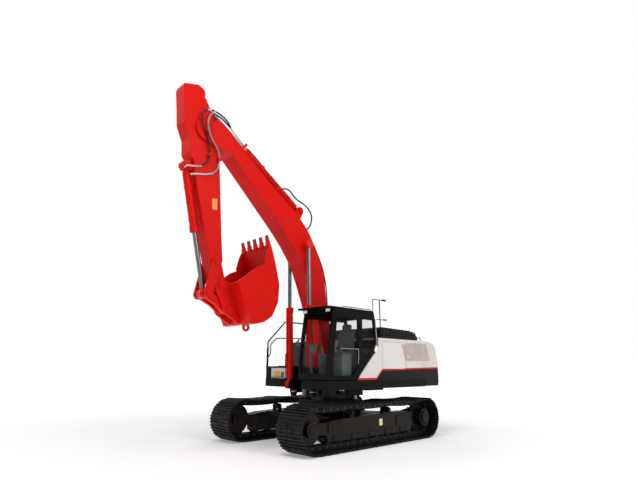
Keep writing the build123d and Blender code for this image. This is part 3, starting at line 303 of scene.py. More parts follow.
def bar(mesh, start, end, radius, sides=16):
    """A round bar with closed ends between two points."""
    start, end = Vector(start), Vector(end)
    turn = (end - start).to_track_quat("Z", "Y").to_matrix().to_4x4()
    place = Matrix.Translation((start + end) / 2) @ turn
    bmesh.ops.create_cone(mesh, cap_ends=True, segments=sides, radius1=radius, radius2=radius,
                          depth=(end - start).length, matrix=place)


def collar(mesh, start, end, inner, outer, sides=32):
    """A ring round an axis between two points, open in the middle."""
    start, end = Vector(start), Vector(end)
    turn = (end - start).to_track_quat("Z", "Y")
    rings = []
    for centre, radius in ((start, inner), (start, outer), (end, outer), (end, inner)):
        rings.append([mesh.verts.new(centre + turn @ Vector((radius * math.cos(a), radius * math.sin(a), 0)))
                      for a in [2 * math.pi * k / sides for k in range(sides)]])
    for one, two in zip(rings, rings[1:] + rings[:1]):
        for a in range(sides):
            b = (a + 1) % sides
            mesh.faces.new((one[a], one[b], two[b], two[a]))


def tube(mesh, points, radius):
    """A hose or bent rail on one smooth line, with closed ends."""
    line = bpy.data.curves.new("line", "CURVE")
    line.dimensions = "3D"
    spline = line.splines.new("NURBS")
    spline.points.add(len(points) - 1)
    for point, place in zip(spline.points, points):
        point.co = (*place, 1.0)
    spline.order_u = 3
    spline.use_endpoint_u = True
    spline.resolution_u = 6
    line.bevel_depth = radius
    line.bevel_resolution = 3
    line.use_fill_caps = True
    holder = bpy.data.objects.new("line", line)
    solid = bpy.data.meshes.new_from_object(holder)
    mesh.from_mesh(solid)
    bpy.data.objects.remove(holder)
    bpy.data.meshes.remove(solid)
    bpy.data.curves.remove(line)


def bend(points, room):
    """Adds a point on each side of every corner, so that a smooth line keeps straight runs between its bends."""
    points = [Vector(p) for p in points]
    out = [points[0]]
    for before, here, after in zip(points, points[1:], points[2:]):
        for other in (before, after):
            span = other - here
            out.append(here + span * min(room / span.length, 0.45))
        out.insert(-1, here)
    return [tuple(p) for p in out + [points[-1]]]


def piece(name, body, slot, material, mesh, smooth=True, bevel=0.0):
    """Makes one object of a mesh, moves it to the shared frame and hangs it on its body."""
    bmesh.ops.remove_doubles(mesh, verts=mesh.verts, dist=1e-6)
    bmesh.ops.recalc_face_normals(mesh, faces=mesh.faces)
    data = bpy.data.meshes.new(name)
    mesh.to_mesh(data)
    mesh.free()
    data.transform(Matrix.Translation((SWING_X, 0, 0)))
    data.materials.clear()
    data.materials.append(material)
    made = bpy.data.objects.new(name, data)
    bpy.context.scene.collection.objects.link(made)
    if bevel:
        soft = made.modifiers.new("edges", "BEVEL")
        soft.width, soft.segments, soft.limit_method = bevel, 2, "ANGLE"
    if smooth:
        data.shade_smooth()
        data.set_sharp_from_angle(angle=math.radians(40))
    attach(made, body)
    return made


# ---------------------------------------------------------------- repeated fittings, grown by node trees
def stamped(name, places, sizes, material, build):
    """Sets one small shape on every place of a list; sizes become the tree's named inputs."""
    tree = bpy.data.node_groups.new(name, "GeometryNodeTree")
    tree.interface.new_socket("Places", in_out="INPUT", socket_type="NodeSocketGeometry")
    knobs = {}
    for key, value in sizes.items():
        kind = "Vector" if isinstance(value, tuple) else "Int" if isinstance(value, int) else "Float"
        knobs[key] = tree.interface.new_socket(key, in_out="INPUT", socket_type="NodeSocket" + kind)
    tree.interface.new_socket("Fittings", in_out="OUTPUT", socket_type="NodeSocketGeometry")
    ins = tree.nodes.new("NodeGroupInput").outputs
    turn = add(tree, "GeometryNodeInputNamedAttribute", {"Name": "turn"}, data_type="FLOAT_VECTOR")
    many = add(tree, "GeometryNodeInstanceOnPoints",
               {"Points": ins["Places"], "Instance": build(tree, ins), "Rotation": turn.outputs[0]})
    real = add(tree, "GeometryNodeRealizeInstances", {0: many.outputs[0]})
    coat = add(tree, "GeometryNodeSetMaterial", {"Geometry": real.outputs[0], "Material": material})
    add(tree, "NodeGroupOutput", {0: coat.outputs[0]})
    seeds = bpy.data.meshes.new(name)
    seeds.from_pydata([spot for spot, _ in places], [], [])
    turns = seeds.attributes.new("turn", "FLOAT_VECTOR", "POINT")
    for row, (_, euler) in zip(turns.data, places):
        row.vector = euler
    holder = bpy.data.objects.new(name, seeds)
    bpy.context.scene.collection.objects.link(holder)
    grow = holder.modifiers.new(name, "NODES")
    grow.node_group = tree
    for key, knob in knobs.items():
        grow[knob.identifier] = sizes[key]
    solid = bpy.data.meshes.new_from_object(holder.evaluated_get(bpy.context.evaluated_depsgraph_get()))
    bpy.data.objects.remove(holder)
    mesh = bmesh.new()
    mesh.from_mesh(solid)
    return mesh


def studs(name, places, radius, height, material, sides=6):
    """Bolt heads or round bosses whose bottoms stand on their places."""
    def build(tree, ins):
        head = add(tree, "GeometryNodeMeshCylinder",
                   {"Vertices": ins["Sides"], "Radius": ins["Head Radius"], "Depth": ins["Head Height"]})
        lift = add(tree, "ShaderNodeMath", {0: ins["Head Height"], 1: 0.5}, operation="MULTIPLY")
        up = add(tree, "ShaderNodeCombineXYZ", {2: lift.outputs[0]})
        stood = add(tree, "GeometryNodeTransform", {"Geometry": head.outputs[0], "Translation": up.outputs[0]})
        return stood.outputs[0]
    return stamped(name, places, {"Head Radius": radius, "Head Height": height, "Sides": sides}, material, build)


def slats(name, places, size, material):
    """Flat bars of one size, each centred on its place."""
    def build(tree, ins):
        return add(tree, "GeometryNodeMeshCube", {"Size": ins["Slat Size"]}).outputs[0]
    return stamped(name, places, {"Slat Size": size}, material, build)


def circle_places(centre, radius, count, side, start=0.0):
    """Places round a cross axis, facing out to one side; centre is (x, y, z)."""
    spots = []
    for index in range(count):
        angle = start + 2 * math.pi * index / count
        spots.append(((centre[0] + radius * math.cos(angle), centre[1], centre[2] + radius * math.sin(angle)),
                      (-side * math.pi / 2, 0, 0)))
    return spots


# ---------------------------------------------------------------- tracks
def shoe_joints():
    """Where the shoes meet, at equal steps along the loop, as (x, z)."""
    reach, low, high = WHEEL_BASE / 2, AXLE_Z - SHOE_SEAT, AXLE_Z + SHOE_SEAT
    half_turn = [math.pi * k / 60 for k in range(1, 61)]
    line = [(-reach, low), (reach, low)]
    line += [(reach + SHOE_SEAT * math.sin(a), AXLE_Z - SHOE_SEAT * math.cos(a)) for a in half_turn]
    stops = (reach, CARRIER_X, -CARRIER_X, -reach)
    for x0, x1 in zip(stops, stops[1:]):
        line += [(x0 + (x1 - x0) * k / 20, high - TRACK_SAG * 4 * (k / 20) * (1 - k / 20)) for k in range(1, 21)]
    line += [(-reach - SHOE_SEAT * math.sin(a), AXLE_Z + SHOE_SEAT * math.cos(a)) for a in half_turn]
    lengths = [0.0]
    for a, b in zip(line, line[1:]):
        lengths.append(lengths[-1] + math.dist(a, b))
    joints, at = [], 0
    for index in range(SHOE_COUNT):
        goal = lengths[-1] * index / SHOE_COUNT
        while lengths[at + 1] < goal:
            at += 1
        share = (goal - lengths[at]) / (lengths[at + 1] - lengths[at])
        joints.append(Vector(line[at]).lerp(Vector(line[at + 1]), share))
    return joints


def track_fittings():
    """Four bolts on each shoe, and a pad and a pin on each link."""
    joints = shoe_joints()
    bolts, pads, pins = [], [], []
    for start, end in zip(joints, joints[1:] + joints[:1]):
        run = end - start
        out = Vector((run.y, -run.x)).normalized()
        lean = math.atan2(run.y, run.x)
        for side in (-1, 1):
            for row in (-1, 1):
                bolt_y, face = side * TRACK_Y + row * 0.075, side * TRACK_Y + row * LINK_FACE
                for share in (0.28, 0.64):
                    spot = start + run * share + out * SHOE_THICK
                    bolts.append(((spot.x, bolt_y, spot.y), (math.pi, -lean, 0)))
                spot = start + run * 0.5 - out * LINK_HEIGHT * 0.62
                pads.append(((spot.x, face + row * 2 * MM, spot.y), (0, -lean, 0)))
                spot = start - out * LINK_HEIGHT * 0.55
                pins.append(((spot.x, face, spot.y), (-row * math.pi / 2, 0, 0)))
    mesh = studs("shoe_bolts", bolts, 15 * MM, 11 * MM, STEEL)
    piece("shoe_bolts", "undercarriage", "track_steel", STEEL, mesh, False)
    mesh = slats("link_pads", pads, (0.135, 8 * MM, 0.062), STEEL)
    piece("link_pads", "undercarriage", "track_steel", STEEL, mesh, False)
    mesh = studs("link_pins", pins, 27 * MM, 9 * MM, WORN, 12)
    piece("link_pins", "undercarriage", "track_steel", WORN, mesh, False)


def undercarriage_trim():
    """Hub and race bolts, the covers on the side frames, and a blank label."""
    hubs = []
    for side in (-1, 1):
        for x, out, radius, count in ((-WHEEL_BASE / 2, 0.255, 0.185, 16), (-WHEEL_BASE / 2, 0.300, 0.118, 10),
                                      (WHEEL_BASE / 2, 0.225, 0.135, 12)):
            hubs += circle_places((x, side * (TRACK_Y + out), AXLE_Z), radius, count, side)
    mesh = studs("hub_bolts", hubs, 13 * MM, 12 * MM, WORN)
    piece("hub_bolts", "undercarriage", "track_steel", WORN, mesh, False)
    face = TRACK_Y + FRAME_HALF
    mesh = bmesh.new()
    for side in (-1, 1):
        # grease valve cover, tensioner cover and the flange that the final drive sits on
        for x, near, far, z in (((1.02, 1.52), 0, 22, (0.400, 0.590)), ((1.12, 1.40), 22, 34, (0.440, 0.550)),
                                ((-1.42, -0.90), 0, 20, (0.380, 0.600))):
            block(mesh, x, sided(side, face + near * MM, face + far * MM), z)
        for x in (-1.20, -0.60, 0.0, 0.60, 1.20):
            block(mesh, (x - 0.16, x + 0.16), sided(side, face, face + 16 * MM), (0.215, 0.330))
        for x, z, near, far, radius, sides in ((WHEEL_BASE / 2, AXLE_Z, 0.224, 0.240, 0.105, 28),
                                               (-CARRIER_X, CARRIER_Z, 0.125, 0.150, 0.045, 16),
                                               (CARRIER_X, CARRIER_Z, 0.125, 0.150, 0.045, 16)):
            bar(mesh, (x, side * (TRACK_Y + near), z), (x, side * (TRACK_Y + far), z), radius, sides)
    piece("frame_covers", "undercarriage", "chassis_paint", CHASSIS, mesh, bevel=3 * MM)
    for name, material, x in (("frame_label_edge", YELLOW, (-0.245, -0.225)),
                              ("frame_label", IVORY, (-0.350, -0.245))):
        mesh = bmesh.new()
        for side in (-1, 1):
            block(mesh, x, sided(side, face, face + 2 * MM), (0.415, 0.565))
        piece(name, "undercarriage", "white_paint", material, mesh, False)
    angles = [2 * math.pi * k / RACE_BOLTS for k in range(RACE_BOLTS)]
    ring = [((RACE_RADIUS * math.cos(a), RACE_RADIUS * math.sin(a), RACE_TOP), (0, 0, 0)) for a in angles]
    mesh = studs("race_bolts", ring, 14 * MM, 16 * MM, WORN)
    piece("race_bolts", "undercarriage", "track_steel", WORN, mesh, False)


# ---------------------------------------------------------------- boom, arm and bucket
# flange edges, as lines of (x, z)
BOOM_TOP_LIP = ((4.100, 7.400), (3.900, 7.390), (3.720, 7.290), (2.400, 6.310), (1.560, 5.760), (1.070, 5.320),
                (0.700, 4.740), (0.430, 4.150), (0.345, 3.500))
BOOM_FOOT_LIP = ((0.850, 3.480), (1.000, 3.850), (1.240, 4.360), (1.600, 4.830), (1.920, 5.170), (3.500, 6.660),
                 (3.640, 6.680))
ARM_FRONT_LIP = ((3.940, 4.160), (4.070, 4.610), (4.330, 5.550), (4.400, 5.850), (4.460, 6.060))
ARM_TOP_LIP = ((4.470, 6.200), (4.620, 6.400), (4.650, 6.750), (4.800, 7.080), (4.845, 7.500), (4.900, 7.950))
ARM_REAR_LIP = ((4.330, 7.870), (4.060, 7.420), (3.940, 7.080), (3.900, 6.700), (3.840, 6.300), (3.780, 5.690),
                (3.660, 4.520), (3.600, 4.020))
# pins that show an end, by the body they turn in: (x, z), face of the pin, cap radius
PIN_CAPS = {
    "arm": [(BOOM_TIP, 0.267, 0.088), (IDLER_PIN, 0.255, 0.062), (ARM_NOSE, 0.208, 0.075), (CURL_FOOT, 0.110, 0.070)],
    "idler_links": [(LINK_PIN, 0.253, 0.072)],
    "bucket": [(BUCKET_PIN, 0.206, 0.075)],
    "upper": [(BOOM_FOOT, 0.396, 0.092)],
    "boom": [(CROWD_FOOT, 0.114, 0.070)],
}
# node, (x, z) of the foot pin and of the rod's eye, length, distances from the middle, side of the pipe, radius
BARRELS = (("boom_barrels", LIFT_FOOT, LIFT_EYE, 1.930, (-LIFT_Y, LIFT_Y), -1, 0.084),
           ("arm_barrel", CROWD_FOOT, CROWD_EYE, 2.160, (0.0,), 1, 0.091),
           ("bucket_barrel", CURL_FOOT, LINK_PIN, 1.530, (0.0,), -1, 0.084))


def lip(mesh, line, half, inward=1):
    """A thin raised edge of the flange plates along both sides of a box beam; inward is the side it lies on."""
    for a, b in zip(line, line[1:]):
        a, b = Vector(a), Vector(b)
        across = (b - a).orthogonal().normalized() * inward * 16 * MM
        for side in (-1, 1):
            prism(mesh, (a, b, b + across, a + across), *sided(side, half, half + 6 * MM))


def pin_caps():
    """A stepped cap with four bolts on each end of the pins that show."""
    for body, pins in PIN_CAPS.items():
        slot, paint = ("black_paint", BLACK) if body == "upper" else ("red_paint", RED)
        ends = [(x, side, z, face, radius) for (x, z), face, radius in pins for side in (-1, 1)]
        bolts = []
        for x, side, z, face, radius in ends:
            bolts += circle_places((x, side * (face + 12 * MM), z), radius * 0.76, 4, side, 0.6)
        mesh = studs(body + "_cap_bolts", bolts, 8 * MM, 7 * MM, paint)
        for x, side, z, face, radius in ends:
            edge, top = side * (face + 12 * MM), side * (face + 20 * MM)
            bar(mesh, (x, side * (face - 4 * MM), z), (x, edge, z), radius, 28)
            bar(mesh, (x, edge, z), (x, top, z), radius * 0.55, 20)
        piece(body + "_pin_caps", body, slot, paint, mesh)


def boom_lines():
    """Pipes and hoses that run along the boom, their clamps, and the boom's flange edges."""
    mesh = bmesh.new()
    for y in (-PIPE_Y, PIPE_Y):
        tube(mesh, [(3.62, y, 7.350), (3.50, y, 7.255), (3.31, y, 7.110), (3.13, y, 6.985)], 20 * MM)
    piece("boom_pipes", "boom", "white_paint", PIPE_AND_HIGHLIGHT_GREY, mesh)
    mesh = bmesh.new()
    for y in (-PIPE_Y, PIPE_Y):
        tube(mesh, [(3.14, y, 6.990), (2.98, y, 6.930), (2.72, y, 6.760), (2.38, y, 6.480), (1.99, y, 6.200)], 12 * MM)
    # a loose loop to the arm cylinder's foot, and the line from there down the back
    tube(mesh, [(1.99, PIPE_Y, 6.20), (1.90, 0.25, 6.27), (1.71, 0.25, 6.25), (1.49, 0.25, 6.05), (1.13, 0.25, 5.98),
                (0.91, 0.25, 5.77), (0.93, 0.25, 5.50), (1.05, 0.25, 5.33), (1.10, 0.20, 5.30)], 19 * MM)
    tube(mesh, [(1.06, 0.20, 5.34), (0.86, 0.20, 5.05), (0.66, 0.20, 4.74), (0.47, 0.20, 4.40), (0.37, 0.20, 4.10),
                (0.30, 0.20, 3.80), (0.28, 0.20, 3.45), (0.24, 0.20, 3.10), (0.16, 0.20, 2.70),
                (0.04, 0.20, 2.40)], 16 * MM)
    # a pair close to the middle, down the back to the boom's foot
    for y in (-0.14, 0.14):
        tube(mesh, [(1.16, y, 5.42), (1.00, y, 5.27), (0.66, y, 4.73), (0.41, y, 4.15), (0.31, y, 3.50),
                    (0.24, y, 3.00), (0.06, y, 2.45)], 20 * MM)
    # from the pipe ends up over the fork
    for y, high in ((-PIPE_Y, 0.0), (PIPE_Y, 0.0), (PIPE_Y, 0.075)):
        tube(mesh, [(3.60, y, 7.340), (3.68, y, 7.40 + high), (3.80, y, 7.475 + high), (3.97, y, 7.540 + high),
                    (4.14, y, 7.545 + high)], 20 * MM)
    piece("boom_hoses", "boom", "hose_rubber", RUBBER, mesh)
    mesh = bmesh.new()
    for x, z, lean in ((3.18, 7.02, 0.60), (2.62, 6.60, 0.64), (2.10, 6.20, 0.60)):
        run = Vector((math.cos(lean), math.sin(lean)))
        up = Vector((-run.y, run.x))
        low, high = Vector((x, z)) - up * 0.05, Vector((x, z)) + up * 0.09
        clamp = (low - run * 0.03, low + run * 0.03, high + run * 0.03, high - run * 0.03)
        for side in (1, -1):
            prism(mesh, clamp, *sided(side, 0.192, 0.238))
    lip(mesh, BOOM_TOP_LIP, BOOM_HALF)
    lip(mesh, BOOM_FOOT_LIP, BOOM_HALF)
    piece("boom_edges_and_clamps", "boom", "red_paint", RED, mesh)


def arm_lines():
    """Hoses from beside the fork to the bucket cylinder, with their pale fittings, and the arm's flange edges."""
    outer = [(4.10, 0.290, 7.55), (4.20, 0.292, 7.47), (4.27, 0.295, 7.30), (4.26, 0.300, 7.10), (4.20, 0.300, 6.93),
             (4.08, 0.270, 6.78), (3.92, 0.235, 6.66), (3.85, 0.205, 6.42), (3.88, 0.202, 6.18), (4.00, 0.200, 6.04),
             (4.16, 0.200, 5.98)]
    inner = [(4.24, 0.290, 7.55), (4.37, 0.290, 7.51), (4.44, 0.292, 7.38), (4.41, 0.292, 7.15), (4.28, 0.275, 6.94),
             (4.17, 0.240, 6.70), (4.10, 0.208, 6.46), (4.17, 0.205, 6.26), (4.32, 0.202, 6.13), (4.46, 0.200, 6.08)]
    for name, material, line, radius in (("arm_hose", RUBBER, inner, 19 * MM),
                                         ("arm_hose_sleeve", SLEEVE, outer, 21 * MM)):
        mesh = bmesh.new()
        tube(mesh, line, radius)
        piece(name, "arm", "hose_rubber", material, mesh)
    mesh = bmesh.new()
    tube(mesh, [(4.30, 0.202, 6.14), (4.42, 0.200, 6.09), (4.54, 0.200, 6.06), (4.64, 0.160, 6.06),
                (4.66, 0.120, 6.02)], 20 * MM)
    tube(mesh, [(4.00, 0.200, 6.04), (4.14, 0.200, 5.98), (4.28, 0.200, 5.94), (4.42, 0.190, 5.91),
                (4.52, 0.130, 5.89)], 21 * MM)
    for line in (outer, inner):
        bar(mesh, line[0], Vector(line[0]).lerp(Vector(line[1]), 0.5), 26 * MM, 12)
    piece("arm_hose_fittings", "arm", "white_paint", PIPE_AND_HIGHLIGHT_GREY, mesh)
    mesh = bmesh.new()
    lip(mesh, ARM_FRONT_LIP, ARM_HALF)
    lip(mesh, ARM_TOP_LIP, ARM_HALF)
    lip(mesh, ARM_REAR_LIP, ARM_HALF, -1)
    # hose clamps on the arm's side
    for x, z in ((4.135, 6.46), (3.875, 6.42)):
        block(mesh, (x - 0.035, x + 0.035), (ARM_HALF, 0.262), (z - 0.03, z + 0.03))
    piece("arm_edges_and_clamps", "arm", "red_paint", RED, mesh)
    mesh = bmesh.new()
    label = [(3.805, 5.205), (3.930, 5.195), (3.955, 5.450), (3.825, 5.475)]
    prism(mesh, label, ARM_HALF + 0.2 * MM, ARM_HALF + 2.4 * MM)
    piece("arm_label", "arm", "white_paint", ORANGE, mesh, False)


def cylinder_trim():
    """Clamps, glands and the thin pipe along each barrel."""
    for name, foot, eye, length, offsets, pipe_side, barrel in BARRELS:
        run = (Vector(eye) - Vector(foot)).normalized()
        up = Vector((-run.y, run.x)) * pipe_side

        def at(along, out, y):
            return foot[0] + run.x * along + up.x * out, y, foot[1] + run.y * along + up.y * out

        pipes, clamps = bmesh.new(), bmesh.new()
        for y in offsets:
            route = ((0.22, 0.085), (0.22, 0.100), (0.27, 0.106), (0.40, 0.106), (length - 0.30, 0.106),
                     (length - 0.16, 0.106), (length - 0.09, 0.100), (length - 0.09, 0.085))
            tube(pipes, [at(along, out, y) for along, out in route], 14 * MM)
            for along in (0.50, length * 0.55, length - 0.28):
                low, high = along - 18 * MM, along + 18 * MM
                collar(clamps, at(low, 0, y), at(high, 0, y), barrel - 3 * MM, barrel + 7 * MM)
                bar(clamps, at(low, 0.098, y), at(high, 0.098, y), 28 * MM, 14)
            collar(clamps, at(length - 0.13, 0, y), at(length - 0.01, 0, y), barrel - 3 * MM, barrel + 15 * MM)
            collar(clamps, at(length - 0.045, 0, y), at(length + 0.008, 0, y), 56 * MM, barrel - 6 * MM)
        piece(name + "_pipes", name, "red_paint", RED, pipes)
        piece(name + "_clamps", name, "red_paint", RED, clamps)


def bucket_trim():
    """Wear straps round the heel, tooth adapters, side cutters and edge straps on the cheeks."""
    heel = [(2.372, 4.120), (2.240, 3.630), (2.266, 3.210), (2.425, 2.880), (2.645, 2.733)]
    adapter = [(2.515, 4.500), (2.590, 4.500), (2.600, 4.640), (2.548, 4.660)]
    cutter = [(2.575, 4.540), (2.640, 4.400), (2.720, 4.080), (2.660, 4.060), (2.560, 4.380), (2.530, 4.540)]
    edge = [(2.260, 3.600), (2.300, 3.600), (2.322, 3.230), (2.470, 2.925), (2.660, 2.795), (2.660, 2.760),
            (2.440, 2.890), (2.285, 3.215)]
    cheek, tooth_y = 0.570, 0.490
    mesh = bmesh.new()
    for y in (-0.42, -0.14, 0.14, 0.42):
        for a, b in zip(heel, heel[1:]):
            a, b = Vector(a), Vector(b)
            out = (b - a).orthogonal().normalized() * 14 * MM
            prism(mesh, (a, b, b - out, a - out), y - 0.035, y + 0.035)
    for index in range(5):
        y = (index / 4 - 0.5) * 2 * tooth_y
        prism(mesh, adapter, y - 0.058, y + 0.058)
    for side in (-1, 1):
        prism(mesh, cutter, *sided(side, cheek, cheek + 12 * MM))
        prism(mesh, edge, *sided(side, cheek, cheek + 10 * MM))
    piece("bucket_wear_parts", "bucket", "red_paint", RED, mesh, bevel=3 * MM)


# ---------------------------------------------------------------- upper body
def clipped(outline, edge, side):
    """The part of an outline ahead of an upright edge, side 1, or behind it, -1."""
    slop = 1e-6
    out = []
    for (x0, z0), (x1, z1) in zip(outline, outline[1:] + outline[:1]):
        here, there = side * (x0 - edge) >= -slop, side * (x1 - edge) >= -slop
        if here:
            out.append((x0, z0))
        if here != there:
            out.append((edge, z0 + (z1 - z0) * (edge - x0) / (x1 - x0)))
    return out


def louvre_panels():
    """Slatted panel, slanted at both ends: on both doors and on the strips between and behind them."""
    def top(x):
        return 2.350 + (-1.22 - x) * 0.060

    def foot(x):
        return 1.920 + (-1.39 - x) * 0.017

    def front(z):
        return -1.22 - (2.350 - z) * 0.395

    def rear(z):
        return -2.39 - (2.420 - z) * 0.354

    whole = [(front(2.35), top(-1.22)), (-1.39, foot(-1.39)), (-2.556, foot(-2.556)), (-2.39, top(-2.39))]
    rim, pitch = 12 * MM, 14.5 * MM
    for name, body, y, x1, x0 in (("panel_front", "left_front_door", DOOR_FACE, -1.22, -1.326),
                                  ("panel_strip", "upper", HOUSE_SIDE, -1.334, -1.396),
                                  ("panel_rear", "left_rear_door", DOOR_FACE, -1.404, -2.214),
                                  ("panel_tail", "upper", HOUSE_SIDE, -2.244, -2.56)):
        mesh = bmesh.new()
        prism(mesh, clipped(clipped(whole, x1, -1), x0, 1), y, y + 3 * MM)
        for index in range(30):
            z = 1.948 + pitch * index
            high, low = min(x1, front(z)) - rim, max(x0, rear(z)) + rim
            if high - low > 0.03 and z < top((high + low) / 2) - rim:
                block(mesh, (low, high), (y + 2 * MM, y + 6 * MM), (z - 3 * MM, z + 3 * MM))
        piece(name, body, "white_paint", LOUVRE, mesh, False)


def hood_trim():
    """Ribs over the hood's crown, and bars and uprights along its sides."""
    crown = [((-1.99 + index * 0.145, 0, 2.784 - 0.02 * (index < 3)), (0, 0, 0)) for index in range(9)]
    mesh = slats("hood_ribs", crown, (0.05, 2.10, 0.026), GLOSS)
    for side in (-1, 1):
        for z, x0, x1 in ((2.560, -2.47, -0.76), (2.620, -2.46, -0.77), (2.680, -2.40, -0.78), (2.735, -2.30, -0.80)):
            block(mesh, (x0, x1), sided(side, 1.149, 1.163), (z - 0.010, z + 0.010))
        for index in range(9):
            x = -2.35 + index * 0.185
            block(mesh, (x - 0.012, x + 0.012), sided(side, 1.149, 1.161), (2.500, 2.745))
    piece("hood_ribs", "engine_hood", "black_paint", GLOSS, mesh)


def tail_trim():
    """Hoops behind the hood, the pole with its brackets behind the cab, and the tail's lifting lugs."""
    foot, pole_y = HOUSE_TOP + 1 * MM, 1.19
    mesh = bmesh.new()
    for y in (-1.06, 1.06):
        tube(mesh, bend([(-2.50, y, 2.480), (-2.50, y, 2.590), (-2.76, y, 2.610), (-2.76, y, 2.455)], 0.05), 12 * MM)
    tube(mesh, bend([(-0.44, pole_y, foot), (-0.44, pole_y, 3.500), (-0.96, pole_y, 3.515)], 0.05), 11 * MM)
    tube(mesh, [(-0.725, pole_y, 3.505), (-0.730, pole_y, 3.10), (-0.735, pole_y, foot)], 13 * MM)
    tube(mesh, [(-0.59, pole_y, 2.980), (-0.76, pole_y, 2.985), (-1.00, pole_y, 2.990)], 10 * MM)
    block(mesh, (-0.98, -0.84), (1.172, 1.215), (3.495, 3.535))
    block(mesh, (-1.01, -0.87), (1.174, 1.210), (2.976, 3.005))
    piece("tail_rails_and_pole", "upper", "black_paint", BLACK, mesh)
    mesh = bmesh.new()
    for y in (-0.80, 0.80):
        block(mesh, (-2.62, -2.50), (y - 0.025, y + 0.025), (2.470, 2.560))
    piece("tail_lugs", "upper", "white_paint", WHITE, mesh, bevel=8 * MM)


def deck_underside():
    """Beams and round housings under the deck, beside the turntable and clear of the tracks as it swings."""
    top = DECK_BOTTOM - 3 * MM
    housings = ((0.92, 0.36, 0.075, 1.060), (0.80, 1.20, 0.060, 1.130), (0.92, -0.36, 0.075, 1.060))
    mesh, bands = bmesh.new(), bmesh.new()
    for side in (-1, 1):
        block(mesh, (-0.08, 0.42), sided(side, 0.80, 1.10), (1.100, top))
        block(mesh, (-1.60, -0.90), sided(side, 0.10, 0.55), (1.160, top))
    for x, y, radius, low in housings:
        bar(mesh, (x, y, low), (x, y, top), radius, 28)
        bar(mesh, (x, y, low + 0.045), (x, y, low + 0.075), radius + 14 * MM, 28)
        # a pale band round each housing: a painted highlight on the housing
        bar(bands, (x, y, low + 0.100), (x, y, low + 0.118), radius + 6 * MM, 28)
    piece("deck_underside", "upper", "chassis_paint", CHASSIS, mesh, bevel=6 * MM)
    piece("pale_glint_bands", "upper", "white_paint", PIPE_AND_HIGHLIGHT_GREY, bands)


def right_side_trim():
    """Inner handrails, post sleeve, blank sign on the toolbox, and tank caps."""
    y, tank_top = -1.455, 2.440
    mesh = bmesh.new()
    tube(mesh, bend([(0.925, y, 2.02), (0.845, y, 2.12), (0.850, y, 2.36), (0.640, y, 2.545), (-0.20, y, 2.580),
                     (-0.20, y, tank_top + 1 * MM)], 0.08), 15 * MM)
    bar(mesh, (0.945, y, DECK_TOP + 1 * MM), (0.945, y, 2.27), 27 * MM, 16)
    tube(mesh, bend([(0.96, -0.66, 1.781), (0.96, -0.66, 2.10), (0.50, -0.60, 2.52), (0.20, -0.60, 2.52),
                     (0.20, -0.60, tank_top + 1 * MM)], 0.08), 15 * MM)
    for x, z in ((1.02, 1.500), (0.60, 1.790)):
        block(mesh, (x - 0.01, x + 0.01), (-1.40, -0.66), (z - 0.008, z + 0.004))
    piece("right_handrails", "upper", "black_paint", BLACK, mesh)
    for name, slot, material, y, z in (("box_sign", "white_paint", YELLOW, (-1.06, -0.81), (1.500, 1.655)),
                                       ("box_sign_edge", "black_paint", TRIM, (-0.785, -0.665), (1.510, 1.640))):
        mesh = bmesh.new()
        block(mesh, (1.0, 1.002), y, z)
        piece(name, "upper", slot, material, mesh, False)
    mesh = bmesh.new()
    for x, y, low, high, radius in ((-0.30, -1.05, 0, 60, 0.085), (-0.30, -1.05, 60, 80, 0.060),
                                    (0.05, -0.80, 0, 22, 0.11), (-0.65, -0.80, 0, 22, 0.11)):
        bar(mesh, (x, y, tank_top + low * MM), (x, y, tank_top + high * MM), radius, 28)
    piece("tank_caps", "upper", "black_paint", BLACK, mesh, bevel=3 * MM)


